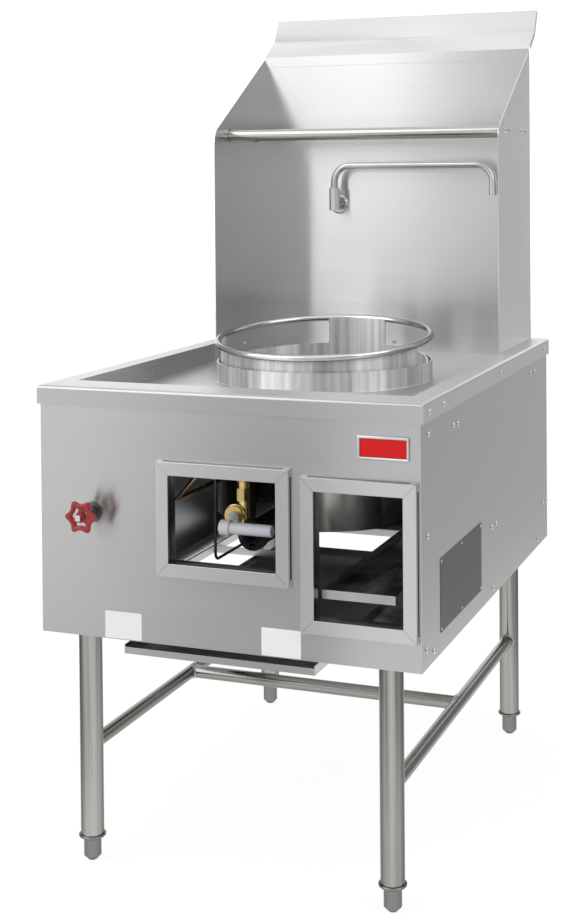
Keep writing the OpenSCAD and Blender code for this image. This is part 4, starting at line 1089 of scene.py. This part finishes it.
@dataclass
class Nameplate:
    """Bare red plate in a bright raised frame."""

    corner: float = 0.0022
    corner_least: float = 0.0006
    corner_share: float = 0.4
    frame_width: float = 0.0055
    frame_foot: float = 0.0014
    frame_crown: float = 0.0031
    plate_corner: float = 0.001
    plate_edge: float = 0.0005

    def rim(self) -> Part:
        """Half-round section carried round the plate: inset w (1 - cos q) / 2, height f + c sin q.

        Returns:
            Points and faces.
        """
        lo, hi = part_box("badge_frame")
        half, mid = 0.5 * (hi - lo), 0.5 * (lo + hi)
        q = np.linspace(0.0, np.pi, 9)
        insets = 0.5 * self.frame_width * (1.0 - np.cos(q))
        insets = np.concatenate([[0.0], insets, [self.frame_width]])
        depth = np.concatenate([[0.0], self.frame_foot + self.frame_crown * np.sin(q), [0.0]])
        corners = np.maximum(self.corner - self.corner_share * insets, self.corner_least)
        outlines = np.stack([rounded_rect(half.x - d, half.z - d, r) for d, r in zip(insets, corners)])
        y = np.broadcast_to(PANEL_Y - depth[:, None], outlines.shape[:2])
        rings = np.stack([mid.x + outlines[:, :, 0], y, mid.z + outlines[:, :, 1]], axis=-1)
        return tube_part(rings, closed=True)

    def build(self, finishes: Finishes) -> None:
        """Makes the frame and the plate.

        Args:
            finishes: Materials of the range.
        """
        chrome, red = finishes["chrome"], finishes["badge_red"]
        add_piece("badge_rim", self.rim(), "range", chrome, ("badge_frame",))
        plate = soft_plate(*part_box("badge_plate"), ACROSS_Y, self.plate_corner, self.plate_edge)
        add_piece("badge_enamel", plate, "range", red, ("badge_plate",), CRISP)


@dataclass
class Stickers:
    """Blank white stickers on the front and blank dark plates on the right side."""

    label_x: tuple[float, float] = (-0.225, 0.070)
    label_w: float = 0.071
    label_z: tuple[float, float] = (0.418, 0.465)
    label_corner: float = 0.002
    plate_d: tuple[float, float] = (109.0, 244.5)
    plate_len: float = 0.135
    plate_z: tuple[float, float] = (0.451, 0.577)
    plate_corner: float = 0.003
    edge: float = 0.0002

    def label(self, x: float) -> Part:
        """One sticker, a thin soft plate on the front.

        Args:
            x: Place of its left edge.

        Returns:
            Points and faces.
        """
        low = (x, PANEL_Y - PLATE_THICK, self.label_z[0])
        high = (x + self.label_w, PANEL_Y, self.label_z[1])
        return soft_plate(low, high, ACROSS_Y, self.label_corner, self.edge)

    def plate(self, distance: float) -> Part:
        """One data plate, a thin soft plate on the right side.

        Args:
            distance: Place of its front edge, in mm behind the trim.

        Returns:
            Points and faces.
        """
        y = back_from_trim(distance)
        low = (SIDE_X, y, self.plate_z[0])
        high = (SIDE_X + PLATE_THICK, y + self.plate_len, self.plate_z[1])
        return soft_plate(low, high, ACROSS_X, self.plate_corner, self.edge)

    def build(self, finishes: Finishes) -> None:
        """Makes the stickers and the plates.

        Args:
            finishes: Materials of the range.
        """
        papers = join_parts([self.label(x) for x in self.label_x])
        plates = join_parts([self.plate(d) for d in self.plate_d])
        white, dark = finishes["label_white"], finishes["plate_dark"]
        add_piece("front_stickers", papers, "range", white, ("labels",), CRISP)
        add_piece("data_plates", plates, "range", dark, (), CRISP)


@dataclass
class ScrewHeads:
    """Domed screw heads with a cross recess, and plain rivets on the data plates.

    Places are distances behind the front trim, or pairs of such a distance and a height, in mm.
    """

    radius: float = 0.0050
    height: float = 0.0036
    dome_power: float = 0.7
    recess_half: float = 0.13
    recess_reach: float = 0.6
    recess_depth: float = 0.45
    rings: tuple[float, ...] = (1.0, 0.99, 0.93, 0.82, 0.68, 0.5, 0.36, 0.22, 0.08)
    deck_z: float = 0.8345
    trim_x: float = 0.3555
    trim_d: tuple[float, ...] = (36, 120, 518, 912)
    side_at: tuple[tuple[float, float], ...] = (
        (48, 796), (198, 786), (225, 784), (796, 798), (834, 796), (40, 630.3), (462, 548.3),
        (494, 548.3), (912, 499.3), (941, 497.2), (31, 447), (73, 433), (469, 430.5), (857, 432),
    )
    pan_x: float = 0.3145
    pan_d: float = 816
    rear_d: float = 949
    rivet_r: float = 0.0022
    rivet_d: tuple[float, ...] = (115, 244, 373)
    rivet_z: tuple[float, float] = (0.457, 0.571)

    def head(self, at: Point, axis: Point) -> Part:
        """A full-size screw head with its recess."""
        return self.dome(at, axis, self.radius, cross=True)

    def dome(self, at: Point, axis: Point, radius: float, cross: bool) -> Part:
        """Dome h (1 - p^2)^0.7 over radius p, less a cross-shaped recess near the middle of a screw.

        Args:
            at: Centre of the head's foot.
            axis: Direction the head faces.
            radius: Radius of the head.
            cross: Cuts the recess.

        Returns:
            Points and faces.
        """
        p = np.array(self.rings)[:, None]
        t = around(32)[None, :]
        h = self.height * (radius / self.radius) * (1.0 - p**2) ** self.dome_power + 0.0 * t
        if cross:
            narrow = np.minimum(np.abs(np.sin(t)), np.abs(np.cos(t))) * p < self.recess_half
            h = np.where(narrow & (p < self.recess_reach), h - self.recess_depth * self.height, h)
        local = np.stack([radius * p * np.cos(t), radius * p * np.sin(t), h], axis=-1)
        return tube_part(local @ oriented(axis) + np.array(at))

    def build(self, finishes: Finishes) -> None:
        """Makes the heads on both sides, in the pan and on the plates.

        Args:
            finishes: Materials of the range.
        """
        parts = []
        for sign in (-1.0, 1.0):
            out, inward = (sign, 0.0, 0.0), (-sign, 0.0, 0.0)
            spots = [(self.trim_x, d, self.deck_z) for d in self.trim_d]
            spots += [(SIDE_X, d, z * MM) for d, z in self.side_at]
            parts += [self.head((sign * x, back_from_trim(d), z), out) for x, d, z in spots]
            parts.append(self.head((sign * self.pan_x, back_from_trim(self.pan_d), self.deck_z), inward))
        parts.append(self.head((0.0, back_from_trim(self.rear_d), self.deck_z), FRONTWARD))
        for d in self.rivet_d:
            for z in self.rivet_z:
                at = (SIDE_X + PLATE_THICK, back_from_trim(d), z)
                parts.append(self.dome(at, (1.0, 0.0, 0.0), self.rivet_r, cross=False))
        add_piece("screw_heads", join_parts(parts), "range", finishes["chrome"], ("screws",))


@dataclass
class TubeWelds:
    """Rippled weld beads where the stretchers meet the legs and each other."""

    leg_x: float = 0.282
    leg_d: tuple[float, float] = (51.5, 872.0)
    cross_d: float = 461.0
    z: float = 0.205
    leg_r: float = 0.02065
    tube_r: float = 0.0127
    bead: float = 0.0024
    ripple: float = 0.12
    ripples: int = 24
    blunt: float = 0.02
    steps: int = 96

    def thickness(self, a: np.ndarray) -> np.ndarray:
        """Radius of the bead at an angle: b (1 + c sin 24 a)."""
        return self.bead * (1.0 + self.ripple * np.sin(self.ripples * a))

    def leg_bead(self, x: float, d: float, way: float) -> Part:
        """Bead along the saddle y = sqrt(R^2 - (r cos a)^2) of a level tube on an upright leg.

        Args:
            x: Place of the leg.
            d: Its distance behind the trim, in mm.
            way: 1 where the tube runs to the rear, -1 to the front.

        Returns:
            Points and faces.
        """
        a = around(self.steps)
        out = np.stack([np.cos(a), 0.0 * a, np.sin(a)], axis=-1)
        saddle = np.sqrt(self.leg_r**2 - (self.tube_r * np.cos(a)) ** 2)
        path = np.array([x, back_from_trim(d), self.z]) + self.tube_r * out
        path[:, 1] += way * saddle
        side = np.tile([0.0, way, 0.0], (self.steps, 1))
        return carried_part(path, out, side, self.thickness(a))

    def cross_bead(self, sign: float) -> Part:
        """Bead along x = X - r |cos a| of the cross tube on a side tube of the same size.

        Args:
            sign: -1 on the left, 1 on the right.

        Returns:
            Points and faces.
        """
        a = around(self.steps)
        out = np.stack([0.0 * a, np.cos(a), np.sin(a)], axis=-1)
        path = np.array([0.0, back_from_trim(self.cross_d), self.z]) + self.tube_r * out
        path[:, 0] = sign * (self.leg_x - self.tube_r * np.sqrt(np.cos(a) ** 2 + self.blunt))
        side = np.tile([-sign, 0.0, 0.0], (self.steps, 1))
        return carried_part(path, out, side, self.thickness(a))

    def build(self, finishes: Finishes) -> None:
        """Makes all six beads.

        Args:
            finishes: Materials of the range.
        """
        front, rear = self.leg_d
        parts = [self.cross_bead(-1.0), self.cross_bead(1.0)]
        for x in (-self.leg_x, self.leg_x):
            parts.append(self.leg_bead(x, front, 1.0))
            parts.append(self.leg_bead(x, rear, -1.0))
        add_piece("stretcher_welds", join_parts(parts), "range", finishes["weld_bead"])


@dataclass
class RingWelds:
    """Tack welds between the loose band and its tube, at turns in degrees from the front."""

    centre: Point = (0.0, back_from_trim(497.0), 0.895)
    radius: float = 0.2058
    tilt: float = math.radians(4.7)
    drop: float = 0.0042
    half_length: float = 0.009
    half_width: float = 0.0030
    half_height: float = 0.0024
    pole: float = 0.02
    turns: tuple[float, ...] = (-80.0, -48.0, -16.0, 16.0, 48.0, 80.0, 168.0, 192.0)

    def tack(self, turn: float) -> Part:
        """Oval mound along the ring just under the tube: a cos u, and sin u times an ellipse in v.

        Args:
            turn: Angle from the front, in degrees.

        Returns:
            Points and faces.
        """
        t = math.radians(turn)
        along = np.array([math.cos(t), math.sin(t), 0.0])
        out = np.array([math.sin(t), -math.cos(t), 0.0])
        mid = np.array(self.centre) + self.radius * out
        mid[2] += math.sin(self.tilt) * (mid[1] - self.centre[1]) - self.drop
        u = np.linspace(self.pole, np.pi - self.pole, 12)[:, None, None]
        v = around(16)[None, :, None]
        oval = self.half_width * np.cos(v) * out + self.half_height * np.sin(v) * np.array(UPWARD)
        return tube_part((mid + self.half_length * np.cos(u) * along + np.sin(u) * oval)[::-1])

    def build(self, finishes: Finishes) -> None:
        """Makes the tacks.

        Args:
            finishes: Materials of the range.
        """
        tacks = join_parts([self.tack(turn) for turn in self.turns])
        add_piece("ring_tacks", tacks, "wok_ring", finishes["weld_bead"])


@dataclass
class GasTrain:
    """Dressing of the gas valve: the bonnet's rim, beads on its barrel, and the lever's grip."""

    lever_x: float = -0.009
    lever_z: float = 0.631
    valve_y: float = back_from_trim(91.0)
    bonnet_out: float = 0.010
    bonnet_r: tuple[float, ...] = (0.0172, 0.0186, 0.0190, 0.0190, 0.0184, 0.0172)
    bonnet_h: tuple[float, ...] = (0.0, 0.0008, 0.0024, 0.0052, 0.0062, 0.0066)
    barrel_r: float = 0.0115
    bead_z: tuple[float, float] = (0.690, 0.700)
    bead_out: float = 0.0016
    bead_up: float = 0.0022
    grip_edge: float = 0.0028
    dish_r: tuple[float, ...] = (0.0004, 0.005, 0.0055)
    dish_depth: float = 0.004
    rib: float = 0.00025
    rib_turns: float = 1500.0

    def bonnet(self) -> Part:
        """Stepped bonnet rim: (radius, height) points turned about the lever's axis.

        Returns:
            Points and faces.
        """
        profile = np.stack([self.bonnet_r, self.bonnet_h], axis=-1)
        origin = (self.lever_x, self.valve_y - self.bonnet_out, self.lever_z)
        return revolve_part(profile, origin, FRONTWARD, 48, closed=True)

    def bead(self, z: float) -> Part:
        """Oval section turned about the valve's barrel: radius r + a cos q, height b sin q.

        Args:
            z: Height of its middle.

        Returns:
            Points and faces.
        """
        q = around(12)
        profile = np.stack([self.barrel_r + self.bead_out * np.cos(q), self.bead_up * np.sin(q)], axis=-1)
        return revolve_part(profile, (0.0, self.valve_y, z), UPWARD, 40, closed=True)

    def grip(self) -> Part:
        """Ribbed tube with rounded ends and dished end faces: radius r - a + a cos ks along its length s.

        Returns:
            Points and faces.
        """
        lo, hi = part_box("lever_grip")
        length, r = hi.x - lo.x, 0.5 * (hi.z - lo.z)
        q = quarter(6)
        near = np.stack([r - self.grip_edge * (1.0 - np.sin(q)), self.grip_edge * (1.0 - np.cos(q))], axis=-1)
        dish = np.stack([self.dish_r, [self.dish_depth, self.dish_depth, 0.0]], axis=-1)
        end = np.concatenate([dish, near])
        far = np.stack([end[::-1, 0], length - end[::-1, 1]], axis=-1)
        s = np.linspace(self.dish_depth, length - self.dish_depth, 60)
        ribs = np.stack([r - self.rib + self.rib * np.cos(s * self.rib_turns), s], axis=-1)
        origin = (lo.x, 0.5 * (lo.y + hi.y), 0.5 * (lo.z + hi.z))
        return revolve_part(np.concatenate([end, ribs, far]), origin, (1.0, 0.0, 0.0), 36)

    def build(self, finishes: Finishes) -> None:
        """Makes the valve's dressing and the grip.

        Args:
            finishes: Materials of the range.
        """
        beads = join_parts([self.bonnet(), *[self.bead(z) for z in self.bead_z]])
        add_piece("valve_beads", beads, "range", finishes["brass"])
        grey = finishes["grip_grey"]
        add_piece("moulded_grip", self.grip(), "gas_lever", grey, ("lever_grip",))


# Studio


@dataclass(frozen=True)
class Card:
    """A soft-edged part of the studio's walls and ceiling with its own brightness, in degrees."""

    azimuth: float
    height: float
    half_width: float
    half_height: float
    soft: float
    level: float


@dataclass(frozen=True)
class Border:
    """A soft border on the floor: a x + b y counts fully at start and no more at end."""

    a: float
    b: float
    start: float
    end: float

    def mask(self, hand: NodeTree, x: Socket, y: Socket) -> Socket:
        """1 on the start side of the border, 0 past its end."""
        along = hand.plus(hand.times(x, self.a), hand.times(y, self.b))
        return hand.spread(along, (self.start, self.end), (1.0, 0.0), smooth=True)


@dataclass(frozen=True)
class Lamp:
    """A square soft lamp: its place, the side of the square and its power in watts."""

    name: str
    at: Point
    size: float
    watts: float


@dataclass
class Studio:
    """Pale surroundings with cards that the steel mirrors, a floor, lamps and the camera."""

    base: float = 0.50
    cards: tuple[Card, ...] = (
        Card(0.0, 90.0, 180.0, 42.0, 22.0, 0.90),
        Card(-140.0, 60.0, 8.0, 12.0, 14.0, 1.25),
        Card(-48.0, 4.0, 19.0, 24.0, 7.0, 1.0),
        Card(-18.5, 0.0, 0.8, 16.0, 4.0, 0.88),
        Card(-25.0, -9.0, 30.0, 4.0, 5.0, 0.92),
        Card(22.0, -8.0, 14.0, 4.0, 4.0, 1.0),
        Card(32.2, 6.0, 9.0, 8.0, 1.0, 0.27),
        Card(80.0, 0.0, 32.0, 24.0, 14.0, 0.34),
        Card(165.0, 10.0, 12.0, 20.0, 8.0, 0.47),
        Card(-160.0, 8.0, 24.0, 16.0, 8.0, 1.35),
        Card(176.0, 27.0, 9.0, 7.0, 5.0, 1.5),
    )
    fill: float = 0.85
    before: tuple[Border, Border] = (Border(-0.345, 0.94, -1.2, -0.57), Border(0.0, 1.0, -4.6, -8.0))
    clear: tuple[Border, Border] = (Border(1.0, -0.51, -0.4, 0.7), Border(1.0, -0.376, 0.46, 0.31))
    beside: tuple[Border, Border] = (
        Border(0.8387, 0.5446, -1.15, -0.64), Border(0.0, 1.0, -0.7, -1.7)
    )
    right: Border = Border(1.0, 0.16, 1.1, 0.62)
    right_level: float = 0.52
    dim: float = 0.60
    floor_half: float = 9.0
    floor_matt: float = 0.84
    floor_glow: float = 0.84
    glow_strength: float = 1.07
    aim: Point = (0.0, 0.0, 0.8)
    lamps: tuple[Lamp, ...] = (
        Lamp("key_lamp", (-2.8, -3.2, 3.6), 4.4, 72.0),
        Lamp("fill_lamp", (3.4, -1.2, 2.8), 2.6, 22.0),
    )
    eye: Point = (1.04207, -2.75675, 1.22919)
    yaw: float = 20.18
    pitch: float = 1.01
    roll: float = -0.42
    focal_px: float = 1480.03
    centre_px: tuple[float, float] = (336.93, 195.10)
    sensor: float = 36.0
    clip_end: float = 60.0

    @staticmethod
    def seen_rays(hand: NodeTree) -> Socket:
        """1 for the rays that look at the studio: camera, mirror and transmission rays.

        Args:
            hand: Node hand.

        Returns:
            The mask's socket.
        """
        path = hand.add("ShaderNodeLightPath")
        looks = hand.math("MAXIMUM", path.outputs["Is Camera Ray"], path.outputs["Is Glossy Ray"])
        return hand.math("MAXIMUM", looks, path.outputs["Is Transmission Ray"])

    @staticmethod
    def card_mask(hand: NodeTree, card: Card, turn: Socket, rise: Socket) -> Socket:
        """Mask of one card on the directions' azimuth and height.

        Args:
            hand: Node hand of the world.
            card: The card.
            turn: Azimuth socket in radians.
            rise: Height socket in radians.

        Returns:
            The mask's socket.
        """
        wrapped = hand.math("WRAP", hand.less(turn, math.radians(card.azimuth)), math.pi, -math.pi)
        above = hand.less(rise, math.radians(card.height))
        sides = []
        for offset, half in ((wrapped, card.half_width), (above, card.half_height)):
            limits = (math.radians(half), math.radians(half + card.soft))
            sides.append(hand.spread(hand.math("ABSOLUTE", offset), limits, (1.0, 0.0), smooth=True))
        return hand.times(*sides)

    @staticmethod
    def white_background(hand: NodeTree, strength: object) -> Socket:
        """A white Background of some strength.

        Args:
            hand: Node hand.
            strength: Socket or number.

        Returns:
            The shader's socket.
        """
        node = hand.add("ShaderNodeBackground")
        hand.feed((1.0, 1.0, 1.0), node.inputs["Color"])
        hand.feed(strength, node.inputs["Strength"])
        return node.outputs[0]

    @staticmethod
    def blend_shaders(hand: NodeTree, factor: Socket, first: Socket, second: Socket, sink: str) -> None:
        """Mixes two shaders into an output node of the given kind.

        Args:
            hand: Node hand.
            factor: Share of the second shader.
            first: Shader at 0.
            second: Shader at 1.
            sink: Blender's name of the output node's type.
        """
        mix = hand.add("ShaderNodeMixShader")
        for socket, start in zip(mix.inputs, (factor, first, second)):
            hand.join(start, socket)
        hand.join(mix.outputs[0], hand.add(sink).inputs["Surface"])

    def build_world(self) -> None:
        """Wires the world: the cards for every ray that looks, an even fill for the rest."""
        world = bpy.data.worlds.new("studio")
        bpy.context.scene.world = world
        world.use_nodes = True
        world.node_tree.nodes.clear()
        hand = NodeTree(world.node_tree)
        way = hand.axes(hand.add("ShaderNodeTexCoord").outputs["Generated"])
        turn = hand.math("ARCTAN2", way["X"], hand.times(way["Y"], -1.0))
        rise = hand.math("ARCSINE", way["Z"])
        total: object = self.base
        for card in self.cards:
            lift = hand.less(card.level, total)
            total = hand.plus(hand.times(self.card_mask(hand, card, turn, rise), lift), total)
        even, walls = self.white_background(hand, self.fill), self.white_background(hand, total)
        self.blend_shaders(hand, self.seen_rays(hand), even, walls, "ShaderNodeOutputWorld")

    def floor_tone(self, hand: NodeTree) -> Socket:
        """Tone of the floor: white in the camera's view, dimmer in the parts that the steel mirrors.

        It is dimmed before the camera, apart from the cleared strips on the left, dimmed beside the view
        on the left, and has a level of its own on the right.

        Args:
            hand: Node hand of the floor's material.

        Returns:
            The tone's socket.
        """
        at = hand.axes(hand.place())

        def both(operation: str, borders: tuple[Border, Border]) -> Socket:
            """Joins the masks of two borders."""
            return hand.math(operation, *(border.mask(hand, at["X"], at["Y"]) for border in borders))

        dark = hand.times(both("MULTIPLY", self.before), hand.less(1.0, both("MAXIMUM", self.clear)))
        dimmed = hand.less(1.0, hand.times(dark, self.dim))
        beside = hand.less(1.0, hand.times(both("MULTIPLY", self.beside), self.dim))
        shaded = hand.times(dimmed, beside)
        right = self.right.mask(hand, at["X"], at["Y"])
        return hand.plus(hand.times(right, hand.less(self.right_level, shaded)), shaded)

    def build_floor(self) -> None:
        """Lays a pale floor that keeps a light shadow and meets the white behind it."""
        h = self.floor_half
        mesh = bpy.data.meshes.new("floor")
        mesh.from_pydata([(-h, -h, 0.0), (h, -h, 0.0), (h, h, 0.0), (-h, h, 0.0)], [], [(0, 1, 2, 3)])
        floor = bpy.data.objects.new("floor", mesh)
        bpy.context.scene.collection.objects.link(floor)
        material = bpy.data.materials.new("pale_floor")
        material.use_nodes = True
        material.node_tree.nodes.clear()
        hand = NodeTree(material.node_tree)
        tone = self.floor_tone(hand)
        matt = hand.add("ShaderNodeBsdfDiffuse")
        hand.join(hand.times(tone, self.floor_matt), matt.inputs["Color"])
        white = hand.add("ShaderNodeEmission")
        hand.join(tone, white.inputs["Color"])
        white.inputs["Strength"].default_value = self.glow_strength
        seen = hand.times(self.seen_rays(hand), self.floor_glow)
        self.blend_shaders(hand, seen, matt.outputs[0], white.outputs[0], "ShaderNodeOutputMaterial")
        mesh.materials.append(material)

    def hang_lamp(self, lamp: Lamp) -> None:
        """Hangs a lamp and turns it to the range.

        Args:
            lamp: The lamp.
        """
        light = bpy.data.lights.new(lamp.name, "AREA")
        light.size = lamp.size
        light.energy = lamp.watts
        obj = bpy.data.objects.new(lamp.name, light)
        obj.location = lamp.at
        obj.rotation_euler = (Vector(self.aim) - Vector(lamp.at)).to_track_quat("-Z", "Y").to_euler()
        bpy.context.scene.collection.objects.link(obj)

    def build_camera(self) -> None:
        """Sets the camera where the photograph was taken: fitted place, turn, focal length and centre."""
        yaw, pitch, roll = (math.radians(v) for v in (self.yaw, self.pitch, self.roll))
        ahead = Vector((-math.sin(yaw) * math.cos(pitch), math.cos(yaw) * math.cos(pitch), -math.sin(pitch)))
        level = Vector((math.cos(yaw), math.sin(yaw), 0.0))
        above = level.cross(ahead)
        right = level * math.cos(roll) + above * math.sin(roll)
        up = above * math.cos(roll) - level * math.sin(roll)
        data = bpy.data.cameras.new("camera")
        data.sensor_width = self.sensor
        data.lens = self.focal_px * self.sensor / IMAGE_H
        data.shift_x = (0.5 * IMAGE_W - self.centre_px[0]) / IMAGE_H
        data.shift_y = (self.centre_px[1] - 0.5 * IMAGE_H) / IMAGE_H
        data.clip_end = self.clip_end
        camera = bpy.data.objects.new("camera", data)
        turn = Matrix((right, up, -ahead)).transposed().to_4x4()
        camera.matrix_world = Matrix.Translation(Vector(self.eye)) @ turn
        bpy.context.scene.collection.objects.link(camera)
        bpy.context.scene.camera = camera

    def build(self) -> None:
        """Makes the whole studio."""
        bpy.context.scene.view_settings.view_transform = "Standard"
        self.build_camera()
        self.build_world()
        self.build_floor()
        for lamp in self.lamps:
            self.hang_lamp(lamp)


def main() -> None:
    """Builds the finishes, the pieces and the studio in order."""
    logging.basicConfig(level=logging.INFO, format="%(message)s")
    finishes = Finishes()
    finishes.dress_frame()
    HandWheel().build(finishes)
    WindowFrame("left_frame").build(finishes)
    WindowFrame("right_frame").build(finishes)
    Nameplate().build(finishes)
    Stickers().build(finishes)
    ScrewHeads().build(finishes)
    TubeWelds().build(finishes)
    RingWelds().build(finishes)
    GasTrain().build(finishes)
    Studio().build()


if __name__ == "__main__":
    main()
